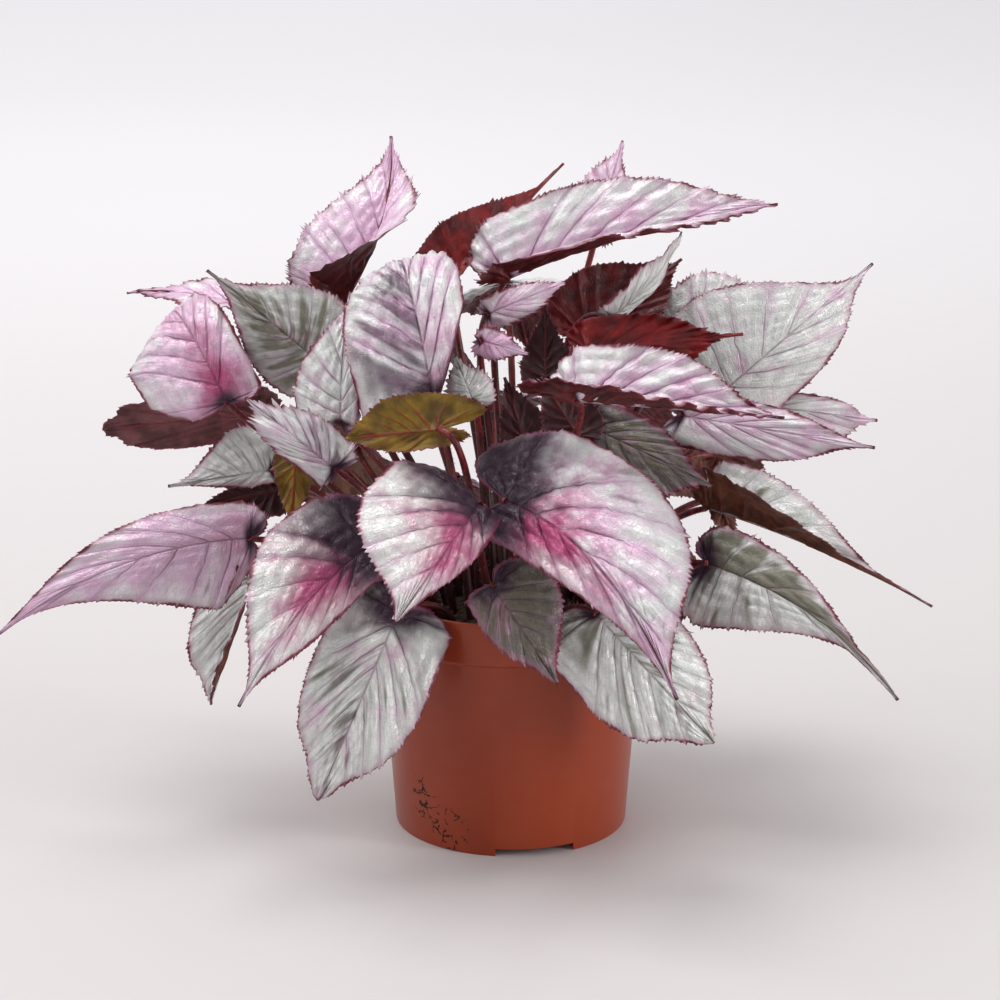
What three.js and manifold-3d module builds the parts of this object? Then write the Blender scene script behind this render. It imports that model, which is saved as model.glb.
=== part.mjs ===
// A rex begonia in a plain plastic nursery pot, in millimetres, +Z up, front towards -Y.
// The origin is the centre of the pot's base, on the surface that it stands on.
import * as THREE from 'three';
import { mergeVertices } from 'three/addons/utils/BufferGeometryUtils.js';
import Module from 'manifold-3d';

const wasm = await Module();
wasm.setup();

// Pot: a tapered cup with a collar, a ring foot with drain gaps, and a raised channel under its floor
const RIM_RADIUS = 60;
const POT_HEIGHT = 108.5;
const COLLAR_HEIGHT = 19.5;
const COLLAR_STEP = 1.6;
const BASE_RADIUS = 51.8;
const FOOT_BEVEL = 1.5;
const FOOT_WIDTH = 4.5;
const WALL = 1.8;
const CHANNEL_HEIGHT = 3.5;
const CHANNEL_INNER = 20;
const FLOOR = 1.6;
const POT_SIDES = 36;
const FOOT_GAPS = 3;
const FOOT_GAP_WIDTH = 35;
const FOOT_GAP_TURN = 12;
const DRAIN_HOLES = 6;
const DRAIN_RADIUS = 3.5;
const DRAIN_CIRCLE = 34;

// Soil: fills the cup to a little under its rim, with a plain hole for each stalk
const CLEARANCE = 0.35;
const SOIL_EDGE = 95;
const SOIL_MIDDLE = 99;
const SOIL_SHOULDER = 40;
const HOLE_DEPTH = 12;

// Stalks: four-sided tubes, stouter at the root than at the neck, where the blade begins
const STALK_SIDES = 4;
const STALK_STEPS = 5;
const ROOT_RADIUS = 1.8;
const NECK_RADIUS = 1.2;
const NECK_OVERRUN = 0.5;
const SHORTEST_EDGE = 0.08;
// How much of the stalk's length the bend takes up at each end, how much the stalk leans out for each
// millimetre that its root is off the middle, and the way that it arrives: along the blade's face and along
// its midrib
const BEND_BELOW = 0.45;
const LEAN = 0.002;
const BEND_ABOVE = 0.3;
const ARRIVAL = [0.75, 0.55];

// Roots: the least distance between two, how far out they may stand, and where the first one stands: so far
// out, plus a share of the blade's distance, plus a share of how far it is below the crown
const ROOT_SPACING = 8;
const ROOT_LIMIT = 45;
const ROOT_FIRST = 8;
const ROOT_FIRST_LIMIT = 40;
const ROOT_REACH_SHARE = 0.25;
const ROOT_DROP_SHARE = 0.12;
const CROWN = 210;
const SPREADING_ROUNDS = 80;

// Blades: half the thickness, the share by which every second tooth stands out, the ripple of the edge and
// its waves along each side, and the places along each side, fewer where the whole blade is small
const HALF_BLADE = 0.35;
const TOOTH = 0.035;
const RIPPLE = 1.2;
const WAVES = 3.2;
const STATIONS = 10;
const SMALL_STATIONS = 7;
const SMALL_WIDTH = 36;
const DROOP = -20;

// The ends of each leaf are laid out as they are seen from in front: across, up and forward of the plant's
// middle, in a plane that leans back with the line of sight.
const SIGHT_TILT = THREE.MathUtils.degToRad(15.5);
const SIGHT_RANGE = 1272;
const MIDDLE = new THREE.Vector3(-4.9, 0, 147.2);
const SIGHT = new THREE.Vector3(0, Math.cos(SIGHT_TILT), -Math.sin(SIGHT_TILT));
const UPWARD = new THREE.Vector3(0, Math.sin(SIGHT_TILT), Math.cos(SIGHT_TILT));
const EYE = MIDDLE.clone().addScaledVector(SIGHT, -SIGHT_RANGE);
const AXIS = new THREE.Vector3(0, 0, 1);

const FINISH = {
  pot: { color: 0x9c4a32, roughness: 0.42 },
  soil: { color: 0x2a211d, roughness: 0.95 },
  pink: { color: 0xd9b0c8, roughness: 0.4 },
  silver: { color: 0xbcc4be, roughness: 0.4 },
  olive: { color: 0x84806c, roughness: 0.45 },
  dark: { color: 0x5c1a20, roughness: 0.5 },
};

// Half of a blade's outline, from the notch at the stalk round the lobe to the drawn-out tip: the place along
// the blade, as a share of the lobe's length before the stalk and of the blade's after it, then the share of
// the half width.
const OUTLINE = [
  [0, 0], [-0.72, 0.16], [-1, 0.46], [-0.62, 0.8], [0.08, 1], [0.27, 0.97],
  [0.46, 0.79], [0.63, 0.54], [0.78, 0.29], [0.9, 0.11], [1, 0],
];

// Up to the first of these shares of the edge the side veins all leave the midrib at the stalk, and from the
// second on the blade is drawn out to its tip
const FAN_SHARE = 0.36;
const DRAWN_SHARE = 0.45;

// Beyond this share of the blade a drawn-out tip keeps a half width in millimetres, and it is rounded off with
// this power
const TAIL = 2.4;
const TAIL_FROM = 0.5;
const TAIL_ROUNDING = 0.4;

// One row for each leaf. at and tip are the two ends of the blade's midrib, and bow and sway lift its middle
// off the line between them and push it aside, or mid gives its bend. turn rolls the blade round that line,
// from facing the eye, at the stalk and at the tip. The other pairs are for the left half and the right half,
// seen from the stalk: half is its width, lobe how far it reaches behind the stalk, belly how far the widest
// place moves to the tip, taper how thin it is drawn, and slant how far its edge is pushed to the tip, as a share
// of the width. tail is the half width of the drawn-out tip. fold and curl lift each half, at the stalk and at
// the tip, in degrees. heading turns the whole leaf round the pot.
const LEAVES = [
  { at: [-67, 88, -28], tip: [-48, 160, -48], bow: 5, sway: -6, turn: [15, -10], half: [32, 26],
    lobe: [12, 12], belly: [0.1, 0.1], taper: [1.1, 1.3], fold: [[0, 0], [160, -20]], look: 'pink' },
  { at: [-103, 80, -55], tip: [-164, 91, -65], bow: 6, turn: [50, 45], half: [20, 20], lobe: [8, 8],
    taper: [1.4, 1.4], fold: [[60, 0], [0, 0]], look: 'pink' },
  { at: [-79, 60, 2], tip: [-129, 101, 12], bow: 4, turn: [-10, 20], half: [22, 27], lobe: [8, 12],
    taper: [1.6, 1.6], look: 'olive' },
  { at: [-29, 43, 50], tip: [-44, 92, -5], mid: [-47, 134, 55], half: [33, 22], lobe: [14, 4],
    belly: [0.1, 0], taper: [1.2, 1.3], slant: [0, 1.4], look: 'silver' },
  { at: [-28, 31, 62], tip: [-68, 27, 57], turn: [180, 180], half: [16, 8], lobe: [22, 14],
    belly: [0.3, 0.3], taper: [0.6, 0.6], look: 'olive' },
  { at: [-70, 34, 28], tip: [-66, 92, 22], bow: 5, turn: [-30, 10], half: [24, 8], lobe: [4, 4],
    taper: [1.6, 1.6], look: 'silver' },
  { at: [-120, 43, 15], tip: [-143, 72, -25], mid: [-150, 104, 15], half: [34, 17], lobe: [5, 4],
    belly: [0.1, 0.3], slant: [0.25, 0], look: 'pink' },
  { at: [-103, 38, -30], tip: [-175, 31, -35], turn: [150, 150], half: [15, 12], lobe: [8, 8],
    belly: [0.7, 0.7], taper: [0.35, 0.35], look: 'dark' },
  { at: [-73, 14, 42], tip: [-112, 45, 47], bow: 5, half: [10, 14], lobe: [4, 6], belly: [0.6, 0.2],
    look: 'pink' },
  { at: [-101, 13, -6], tip: [-146, 6, 0], bow: 5, half: [6, 22], lobe: [6, 8], taper: [1.6, 1.6],
    look: 'silver' },
  { at: [-97, 4, -35], tip: [-130, -2, -32], turn: [180, 180], half: [9, 11], lobe: [6, 6],
    taper: [0.6, 0.6], look: 'dark' },
  { at: [-90, 20, 19], tip: [-92, -12, 20], turn: [180, 180], half: [9, 9], lobe: [6, 6], look: 'dark' },
  { at: [-110, -17, 15], tip: [-222, -60, 45], bow: 10, sway: -9, half: [29, 17], lobe: [9, 10],
    belly: [-0.35, 0.2], taper: [1.8, 0.9], slant: [0.6, 0], look: 'pink' },
  { at: [-108, -32, -8], tip: [-127, -90, -6], bow: 8, half: [14, 20], lobe: [6, 4], belly: [0.5, 0.5],
    taper: [0.6, 0.6], fold: [[90, 120], [0, 0]], look: 'silver' },
  { at: [-59, -22, 45], tip: [-115, -91, 90], bow: 8, sway: -5, half: [14, 33], lobe: [8, 24],
    belly: [0.3, 0.1], taper: [1, 1.5], look: 'pink' },
  { at: [-9, -2, 69], tip: [-46, -54, 116], bow: 9, half: [12, 41], lobe: [4, 11], belly: [0.2, 0.45],
    taper: [0.8, 0.8], look: 'pink' },
  { at: [3, -1, 58], tip: [78, -88, 120], bow: 14, sway: 11, half: [41, 18], lobe: [38, 12],
    belly: [0.35, 0.1], taper: [1.3, 1], look: 'pink' },
  { at: [-3, -38, 55], tip: [25, -81, 62], bow: 5, half: [24, 14], lobe: [9, 4], belly: [0.1, 0.2],
    taper: [0.9, 0.9], look: 'olive' },
  { at: [42, -50, 52], tip: [94, -107, 42], bow: 10, half: [24, 29], lobe: [8, 12], belly: [0.4, 0.4],
    taper: [0.7, 0.6], look: 'silver' },
  { at: [-45, -50, 50], tip: [-80, -132, 45], bow: 10, half: [26, 26], lobe: [8, 14], belly: [0.4, 0.4],
    taper: [0.6, 0.5], look: 'olive' },
  { at: [91, -28, 20], tip: [175, -88, 30], bow: 8, sway: 8, half: [18, 27], lobe: [8, 10],
    belly: [-0.15, -0.3], taper: [3, 4], tail: 4, look: 'silver' },
  { at: [86, -30, -2], tip: [72, -60, 0], turn: [180, 180], half: [14, 10], lobe: [6, 6], look: 'olive' },
  { at: [91, -4, -5], tip: [190, -47, 5], bow: 10, sway: 3, half: [24, 24], lobe: [6, 8],
    belly: [-0.1, -0.35], taper: [4, 4], tail: 3, fold: [[0, 0], [145, 115]], look: 'silver' },
  { at: [95, 19, -30], tip: [110, 12, -28], turn: [180, 180], half: [7, 7], lobe: [4, 4], look: 'olive' },
  { at: [80, 37, 26], tip: [165, 23, 60], bow: 6, half: [11, 14], lobe: [10, 10], belly: [0.3, 0.3],
    look: 'pink' },
  { at: [110, 42, -15], tip: [166, 35, -10], bow: 6, half: [8, 13], lobe: [6, 6], belly: [0.5, 0.5],
    taper: [0.9, 0.9], look: 'silver' },
  { at: [34, 43, 75], tip: [125, 36, 110], bow: 12, half: [25, 14], lobe: [20, 34], belly: [0.3, 0.2],
    fold: [[0, 0], [140, 95]], look: 'pink' },
  { at: [38, 33, 18], tip: [94, 6, 30], bow: 6, half: [14, 26], lobe: [10, 10], belly: [0.3, 0.3],
    look: 'olive' },
  { at: [96, 46, -5], tip: [164, 104, -15], bow: 8, half: [40, 22], lobe: [12, 8], belly: [0, 0.3],
    taper: [2.2, 1.2], look: 'silver' },
  { at: [83, 70, -36], tip: [118, 94, -42], bow: 8, half: [24, 20], lobe: [12, 12], belly: [0.3, 0.3],
    look: 'pink' },
  { at: [4, 97, 10], tip: [122, 130, 10], bow: 8, sway: 4, half: [29, 14], lobe: [14, 12],
    belly: [0.2, 0.4], taper: [0.9, 0.7], fold: [[0, 0], [135, 60]], look: 'pink' },
  { at: [-20, 97, -18], tip: [28, 148, -48], turn: [180, 180], half: [14, 22], lobe: [14, 28],
    belly: [0, -0.1], taper: [2, 3], tail: 3.5, fold: [[100, 100], [0, 0]], look: 'dark' },
  { at: [44, 122, -60], tip: [54, 158, -72], bow: 4, half: [16, 10], lobe: [10, 10], taper: [1.5, 1.5],
    look: 'pink' },
  { at: [-5, 82, 35], tip: [29, 96, 35], bow: 4, half: [7, 8], lobe: [4, 4], belly: [0.3, 0.3],
    look: 'pink' },
  { at: [36, 73, -30], tip: [80, 106, -36], turn: [180, 180], half: [16, 24], lobe: [10, 10],
    belly: [0.4, 0.1], taper: [1, 1.4], look: 'dark' },
  { at: [49, 81, 5], tip: [80, 118, 2], bow: 4, turn: [60, 60], half: [11, 11], lobe: [5, 5],
    belly: [0.2, 0.2], look: 'silver' },
  { at: [38, 66, 10], tip: [107, 73, 14], turn: [180, 180], half: [18, 14], lobe: [8, 8],
    belly: [0.2, 0.2], taper: [2, 2], look: 'dark' },
  { at: [-8, 70, 45], tip: [13, 64, 48], bow: 2, half: [7, 7], lobe: [4, 4], look: 'pink' },
  { at: [20, 52, 5], tip: [20, 86, -2], turn: [180, 180], bow: 2, half: [11, 11], lobe: [8, 8],
    look: 'dark' },
  { at: [13, 18, 17], tip: [2, 54, 14], turn: [180, 180], bow: 2, half: [15, 11], lobe: [8, 8],
    look: 'dark' },
  { at: [34, 28, 30], tip: [18, 54, 36], turn: [180, 180], bow: 2, half: [14, 12], lobe: [6, 6],
    look: 'dark' },
  { heading: 180, at: [-34, 8, 66], tip: [-86, -38, 110], bow: 10, half: [28, 32], lobe: [12, 12],
    look: 'pink' },
  { heading: 180, at: [8, 69, 82], tip: [-4, 10, 122], bow: 12, half: [32, 30], lobe: [12, 14],
    look: 'silver' },
  { heading: 180, at: [42, 60, 62], tip: [88, 15, 105], bow: 12, half: [30, 30], lobe: [14, 14],
    look: 'pink' },
  { heading: 180, at: [76, 5, 41], tip: [134, -48, 58], bow: 10, half: [24, 24], lobe: [12, 12],
    look: 'silver' },
  { heading: 180, at: [31, -18, 50], tip: [56, -84, 88], bow: 12, half: [26, 28], lobe: [14, 16],
    look: 'pink' },
  { heading: 180, at: [-30, -30, 68], tip: [-52, -95, 104], bow: 12, half: [30, 28], lobe: [16, 14],
    look: 'pink' },
  { heading: 180, at: [-72, -5, 58], tip: [-135, -62, 78], bow: 10, half: [24, 26], lobe: [12, 12],
    look: 'silver' },
  { heading: 180, at: [14, 18, 66], tip: [12, -42, 104], bow: 10, half: [26, 24], lobe: [12, 12],
    look: 'silver' },
  { heading: 180, at: [5, -48, 52], tip: [0, -112, 55], bow: 10, half: [24, 24], lobe: [12, 12],
    belly: [0.3, 0.3], taper: [0.7, 0.7], look: 'olive' },
  { at: [-12, 44, 38], tip: [-20, 63, 33], bow: 3, half: [10, 11], lobe: [6, 6], look: 'silver' },
  { at: [97, -2, -32], tip: [104, -20, -34], turn: [180, 180], half: [6, 5], lobe: [3, 3], look: 'olive' },
];

function seen(place, heading = 0) {
  const point = MIDDLE.clone().addScaledVector(UPWARD, place[1]);
  point.x += place[0];
  point.sub(EYE).multiplyScalar(1 - place[2] / SIGHT_RANGE).add(EYE);
  return point.applyAxisAngle(AXIS, THREE.MathUtils.degToRad(heading));
}

// A smooth curve through a list of points, read at a share of the way along it.
function smooth(points, share) {
  const last = points.length - 1;
  const place = Math.min(Math.max(share, 0), 1) * last;
  const index = Math.min(Math.floor(place), last - 1);
  const w = place - index;
  const [a, b, c, d] = [-1, 0, 1, 2].map((step) => points[Math.min(Math.max(index + step, 0), last)]);
  return b.map((value, k) => 0.5 * (2 * value + (c[k] - a[k]) * w
    + (2 * a[k] - 5 * value + 4 * c[k] - d[k]) * w * w
    + (3 * value - a[k] - 3 * c[k] + d[k]) * w ** 3));
}

function between(pair, share) {
  return THREE.MathUtils.lerp(pair[0], pair[1], Math.min(Math.max(share, 0), 1));
}

// A leaf's midrib is a bent line from its neck to its tip, with a direction, a face and a left at each place.
class Leaf {
  constructor(row) {
    const level = [[0, 0], [0, 0]];
    const drooping = [[DROOP, DROOP], [DROOP, DROOP]];
    const plain = { bow: 0, sway: 0, turn: [0, 0], belly: [0, 0], taper: [1, 1], slant: [0, 0], tail: TAIL };
    Object.assign(this, plain, { fold: level, curl: drooping }, row);
    this.neck = seen(row.at, row.heading);
    this.end = seen(row.tip, row.heading);
    this.line = this.end.clone().sub(this.neck).normalize();
    const eye = EYE.clone().applyAxisAngle(AXIS, THREE.MathUtils.degToRad(row.heading ?? 0));
    const sight = eye.sub(this.neck).normalize();
    this.facing = sight.addScaledVector(this.line, -sight.dot(this.line)).normalize();
    this.bend = row.mid ? seen(row.mid, row.heading) : this.bowed();
    this.length = this.measure();
  }

  bowed() {
    const roll = THREE.MathUtils.degToRad((this.turn[0] + this.turn[1]) / 2);
    const face = this.facing.clone().applyAxisAngle(this.line, roll);
    const left = new THREE.Vector3().crossVectors(face, this.line);
    const middle = this.neck.clone().add(this.end).multiplyScalar(0.5);
    return middle.addScaledVector(face, 2 * this.bow).addScaledVector(left, 2 * this.sway);
  }

  midrib(share) {
    const rest = 1 - share;
    return this.neck.clone().multiplyScalar(rest * rest)
      .addScaledVector(this.bend, 2 * share * rest)
      .addScaledVector(this.end, share * share);
  }

  measure() {
    const steps = 12;
    let length = 0;
    for (let i = 0; i < steps; i += 1) {
      length += this.midrib(i / steps).distanceTo(this.midrib((i + 1) / steps));
    }
    return length;
  }

  frame(share) {
    const held = Math.min(Math.max(share, 0), 1);
    const along = this.bend.clone().sub(this.neck).multiplyScalar(1 - held)
      .addScaledVector(this.end.clone().sub(this.bend), held).normalize();
    const roll = THREE.MathUtils.degToRad(between(this.turn, held));
    const face = this.facing.clone().applyAxisAngle(this.line, roll);
    face.addScaledVector(along, -face.dot(along)).normalize();
    return { along, face, left: new THREE.Vector3().crossVectors(face, along) };
  }

  // The place on the flat blade where its edge is, along the midrib and out from it
  edge(share, side) {
    const [x, y] = smooth(OUTLINE, share);
    const drawn = Math.max(0, (share - DRAWN_SHARE) / (1 - DRAWN_SHARE));
    const tail = x > TAIL_FROM ? this.tail * Math.max(1 - x, 0) ** TAIL_ROUNDING : 0;
    const out = Math.max(this.half[side] * Math.max(y, 0) ** (this.taper[side] ** drawn), tail);
    const along = x < 0 ? x * this.lobe[side] : (x + this.belly[side] * 4 * x * (1 - x) ** 2) * this.length;
    return [along + this.slant[side] * out, out];
  }

  // The place on the midrib from which the vein to that edge runs
  foot(share) {
    const k = Math.max(0, (share - FAN_SHARE) / (1 - FAN_SHARE));
    return this.length * (0.55 * k ** 1.1 + 0.45 * k ** 3);
  }

  // A point of the blade: share along the edge, out from the midrib to the edge, and stretch for the teeth
  point(share, out, side, stretch = 1) {
    const [edgeAlong, edgeOut] = this.edge(share, side);
    const foot = this.foot(share);
    const along = foot + (edgeAlong - foot) * out * stretch;
    const across = edgeOut * out * stretch;
    const u = along / this.length;
    const { along: ahead, face, left } = this.frame(u);
    const base = u >= 0 ? this.midrib(Math.min(u, 1)) : this.neck.clone().addScaledVector(ahead, along);
    const bent = between(this.fold[side], u) + between(this.curl[side], u) * out / 2;
    const lift = THREE.MathUtils.degToRad(bent);
    const fade = Math.min(1, 6 * share, 6 * (1 - share));
    const ripple = RIPPLE * out * out * Math.sin(2 * Math.PI * (WAVES * share + 0.3 * side)) * fade;
    return base.addScaledVector(left, (side === 0 ? 1 : -1) * across * Math.cos(lift))
      .addScaledVector(face, across * Math.sin(lift) + ripple);
  }
}

// Roots stand on the side of the pot that their blade is on, the low and wide leaves further out, and are
// then spread until no two are closer than the spacing.
function placeRoots(leaves) {
  const roots = leaves.map(({ neck }) => {
    const reach = Math.hypot(neck.x, neck.y);
    const radius = ROOT_FIRST + ROOT_REACH_SHARE * reach + ROOT_DROP_SHARE * Math.max(0, CROWN - neck.z);
    return new THREE.Vector2(neck.x, neck.y).setLength(Math.min(ROOT_FIRST_LIMIT, radius));
  });
  for (let round = 0; round < SPREADING_ROUNDS; round += 1) {
    for (let i = 0; i < roots.length; i += 1) {
      for (let j = 0; j < i; j += 1) {
        const apart = roots[i].clone().sub(roots[j]);
        const short = ROOT_SPACING - apart.length();
        if (short > 0) {
          apart.setLength(short / 2);
          roots[i].add(apart);
          roots[j].sub(apart);
        }
      }
      roots[i].clampLength(0, ROOT_LIMIT);
    }
  }
  return roots;
}

function soilHeight(radius) {
  const share = Math.min(radius / SOIL_SHOULDER, 1);
  return SOIL_MIDDLE - (SOIL_MIDDLE - SOIL_EDGE) * share * share;
}

function solidOf(geometry) {
  geometry.deleteAttribute('normal');
  geometry.deleteAttribute('uv');
  const merged = mergeVertices(geometry, 1e-4);
  return new wasm.Manifold(new wasm.Mesh({
    numProp: 3,
    vertProperties: new Float32Array(merged.attributes.position.array),
    triVerts: new Uint32Array(merged.index.array),
  }));
}

function geometryOf(solid) {
  const { vertProperties, triVerts } = solid.getMesh();
  const geometry = new THREE.BufferGeometry();
  geometry.setAttribute('position', new THREE.BufferAttribute(vertProperties, 3));
  geometry.setIndex(new THREE.BufferAttribute(triVerts, 1));
  geometry.computeVertexNormals();
  return geometry;
}

function geometryFrom(points, faces) {
  const geometry = new THREE.BufferGeometry().setFromPoints(points);
  geometry.setIndex(faces.flat());
  return geometry;
}

function lathe(profile, sides = POT_SIDES) {
  const geometry = new THREE.LatheGeometry(profile.map(([r, z]) => new THREE.Vector2(r, z)), sides);
  return geometry.rotateX(Math.PI / 2);
}

function makePot() {
  const neckHeight = POT_HEIGHT - COLLAR_HEIGHT;
  const neckRadius = RIM_RADIUS - COLLAR_STEP;
  const channelOuter = BASE_RADIUS - FOOT_WIDTH;
  const floorTop = CHANNEL_HEIGHT + FLOOR;
  const profile = [
    [0, 0], [CHANNEL_INNER, 0], [CHANNEL_INNER + 1, CHANNEL_HEIGHT], [channelOuter - 1, CHANNEL_HEIGHT],
    [channelOuter, 0], [BASE_RADIUS - FOOT_BEVEL, 0], [BASE_RADIUS, FOOT_BEVEL],
    [neckRadius, neckHeight], [RIM_RADIUS, neckHeight + 1], [RIM_RADIUS, POT_HEIGHT - 0.6],
    [RIM_RADIUS - 0.6, POT_HEIGHT], [RIM_RADIUS - WALL, POT_HEIGHT],
    [RIM_RADIUS - WALL, neckHeight + 1], [neckRadius - WALL, neckHeight - 1],
    [BASE_RADIUS - WALL, floorTop], [CHANNEL_INNER - 1, floorTop], [CHANNEL_INNER - 2, FLOOR], [0, FLOOR],
  ];
  let pot = solidOf(lathe(profile));
  for (let i = 0; i < FOOT_GAPS; i += 1) {
    const gap = new THREE.BoxGeometry(FOOT_GAP_WIDTH, 2 * FOOT_WIDTH + 4, 2 * CHANNEL_HEIGHT);
    gap.translate(0, -BASE_RADIUS + FOOT_WIDTH / 2, 0);
    gap.rotateZ(THREE.MathUtils.degToRad(FOOT_GAP_TURN + i * 360 / FOOT_GAPS));
    pot = pot.subtract(solidOf(gap));
  }
  for (let i = 0; i < DRAIN_HOLES; i += 1) {
    const hole = new THREE.CylinderGeometry(DRAIN_RADIUS, DRAIN_RADIUS, 4 * CHANNEL_HEIGHT, 8);
    hole.rotateX(Math.PI / 2).translate(DRAIN_CIRCLE, 0, CHANNEL_HEIGHT);
    hole.rotateZ((i + 0.5) * 2 * Math.PI / DRAIN_HOLES);
    pot = pot.subtract(solidOf(hole));
  }
  return geometryOf(pot);
}

function makeSoil(roots) {
  const floorTop = CHANNEL_HEIGHT + FLOOR + CLEARANCE;
  const neckHeight = POT_HEIGHT - COLLAR_HEIGHT;
  const profile = [
    [0, floorTop], [BASE_RADIUS - WALL - CLEARANCE, floorTop],
    [RIM_RADIUS - COLLAR_STEP - WALL - CLEARANCE, neckHeight - 1],
    [RIM_RADIUS - COLLAR_STEP - WALL - CLEARANCE, SOIL_EDGE],
    [SOIL_SHOULDER, SOIL_EDGE], [SOIL_SHOULDER / 2, soilHeight(SOIL_SHOULDER / 2)], [0, SOIL_MIDDLE],
  ];
  let soil = solidOf(lathe(profile));
  for (const root of roots) {
    const ground = soilHeight(root.length());
    const radius = (ROOT_RADIUS + CLEARANCE) / Math.cos(Math.PI / STALK_SIDES);
    const hole = new THREE.CylinderGeometry(radius, radius, 2 * HOLE_DEPTH, STALK_SIDES);
    hole.rotateX(Math.PI / 2).translate(root.x, root.y, ground);
    soil = soil.subtract(solidOf(hole));
  }
  return geometryOf(soil);
}

// The stalk stands straight in its hole, then bends over to meet the underside of the blade at its neck.
function stalkPath(leaf, root) {
  const ground = soilHeight(root.length());
  const foot = new THREE.Vector3(root.x, root.y, ground - HOLE_DEPTH + CLEARANCE);
  const start = new THREE.Vector3(root.x, root.y, ground + 0.5);
  const { along, face } = leaf.frame(0);
  const arriving = face.clone().multiplyScalar(ARRIVAL[0]).addScaledVector(along, ARRIVAL[1]).normalize();
  const height = leaf.neck.distanceTo(start);
  const rising = new THREE.Vector3(LEAN * root.x, LEAN * root.y, BEND_BELOW);
  const lower = start.clone().addScaledVector(rising, height);
  const upper = leaf.neck.clone().addScaledVector(arriving, -BEND_ABOVE * height);
  const bend = new THREE.CubicBezierCurve3(start, lower, upper, leaf.neck.clone());
  const points = [foot, ...bend.getPoints(STALK_STEPS)];
  points.push(leaf.neck.clone().addScaledVector(arriving, NECK_OVERRUN));
  return points;
}

function makeStalk(leaf, root) {
  const path = stalkPath(leaf, root);
  const points = [];
  const faces = [];
  let aside = new THREE.Vector3(1, 0, 0);
  path.forEach((place, i) => {
    const before = path[Math.max(i - 1, 0)];
    const after = path[Math.min(i + 1, path.length - 1)];
    const ahead = i < 2 ? AXIS : after.clone().sub(before).normalize();
    aside = aside.addScaledVector(ahead, -aside.dot(ahead)).normalize();
    const other = new THREE.Vector3().crossVectors(ahead, aside);
    const radius = THREE.MathUtils.lerp(ROOT_RADIUS, NECK_RADIUS, i / (path.length - 1));
    for (let k = 0; k < STALK_SIDES; k += 1) {
      const angle = 2 * Math.PI * k / STALK_SIDES;
      points.push(place.clone().addScaledVector(aside, radius * Math.cos(angle))
        .addScaledVector(other, radius * Math.sin(angle)));
    }
  });
  const ring = (i, k) => i * STALK_SIDES + (k % STALK_SIDES);
  for (let i = 0; i + 1 < path.length; i += 1) {
    for (let k = 0; k < STALK_SIDES; k += 1) {
      faces.push([ring(i, k), ring(i, k + 1), ring(i + 1, k + 1)]);
      faces.push([ring(i, k), ring(i + 1, k + 1), ring(i + 1, k)]);
    }
  }
  for (let k = 1; k + 1 < STALK_SIDES; k += 1) {
    faces.push([ring(0, 0), ring(0, k + 1), ring(0, k)]);
    faces.push([ring(path.length - 1, 0), ring(path.length - 1, k), ring(path.length - 1, k + 1)]);
  }
  return geometryFrom(points, faces);
}

// The blade is one sheet of triangles, given its thickness by moving it along its own normals both ways, so
// that both faces are split alike.
function makeBlade(leaf) {
  const stations = leaf.half[0] + leaf.half[1] < SMALL_WIDTH ? SMALL_STATIONS : STATIONS;
  const points = [];
  const places = new Map();
  const corner = (i, j, side) => {
    const stretch = j === 2 && i > 0 && i < stations ? 1 + TOOTH * (i % 2 ? 1 : -1) : 1;
    const point = leaf.point(i / stations, j / 2, side, stretch);
    const key = point.toArray().map((value) => Math.round(value * 100)).join();
    if (!places.has(key)) {
      places.set(key, points.length);
      points.push(point);
    }
    return places.get(key);
  };
  const sheet = [];
  const addFace = (a, b, c, side) => {
    if (a !== b && b !== c && a !== c) {
      sheet.push(side === 0 ? [a, b, c] : [a, c, b]);
    }
  };
  for (const side of [0, 1]) {
    for (let i = 0; i < stations; i += 1) {
      for (let j = 0; j < 2; j += 1) {
        const [near, next, far, farNext] = [
          corner(i, j, side), corner(i + 1, j, side), corner(i, j + 1, side), corner(i + 1, j + 1, side),
        ];
        addFace(near, next, farNext, side);
        addFace(near, farNext, far, side);
      }
    }
  }
  const border = [];
  for (let i = 0; i <= stations; i += 1) {
    border.push(corner(i, 2, 0));
  }
  for (let i = stations - 1; i > 0; i -= 1) {
    border.push(corner(i, 2, 1));
  }

  const middle = geometryFrom(points, sheet);
  middle.computeVertexNormals();
  const normals = middle.attributes.normal;
  const moved = (distance) => points.map((point, i) => point.clone()
    .addScaledVector(new THREE.Vector3().fromBufferAttribute(normals, i), distance));
  const count = points.length;
  const faces = [...sheet, ...sheet.map(([a, b, c]) => [a + count, c + count, b + count])];
  border.forEach((a, i) => {
    const b = border[(i + 1) % border.length];
    faces.push([a, b, b + count], [a, b + count, a + count]);
  });
  return geometryFrom([...moved(HALF_BLADE), ...moved(-HALF_BLADE)], faces);
}

// The tiny edges that the join of blade and stalk leaves are closed up.
function makeLeaf(leaf, root) {
  const joined = solidOf(makeBlade(leaf)).add(solidOf(makeStalk(leaf, root)));
  return geometryOf(joined.asOriginal().simplify(SHORTEST_EDGE));
}

function piece(name, geometry, look) {
  const mesh = new THREE.Mesh(geometry, new THREE.MeshStandardMaterial({ ...FINISH[look], metalness: 0 }));
  mesh.name = name;
  return mesh;
}

const leaves = LEAVES.map((row) => new Leaf(row));
const roots = placeRoots(leaves);
const plant = new THREE.Group();
plant.add(piece('pot', makePot(), 'pot'));
plant.add(piece('soil', makeSoil(roots), 'soil'));
leaves.forEach((leaf, i) => {
  plant.add(piece(`leaf_${String(i + 1).padStart(2, '0')}`, makeLeaf(leaf, roots[i]), leaf.look));
});

export default plant;
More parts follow.
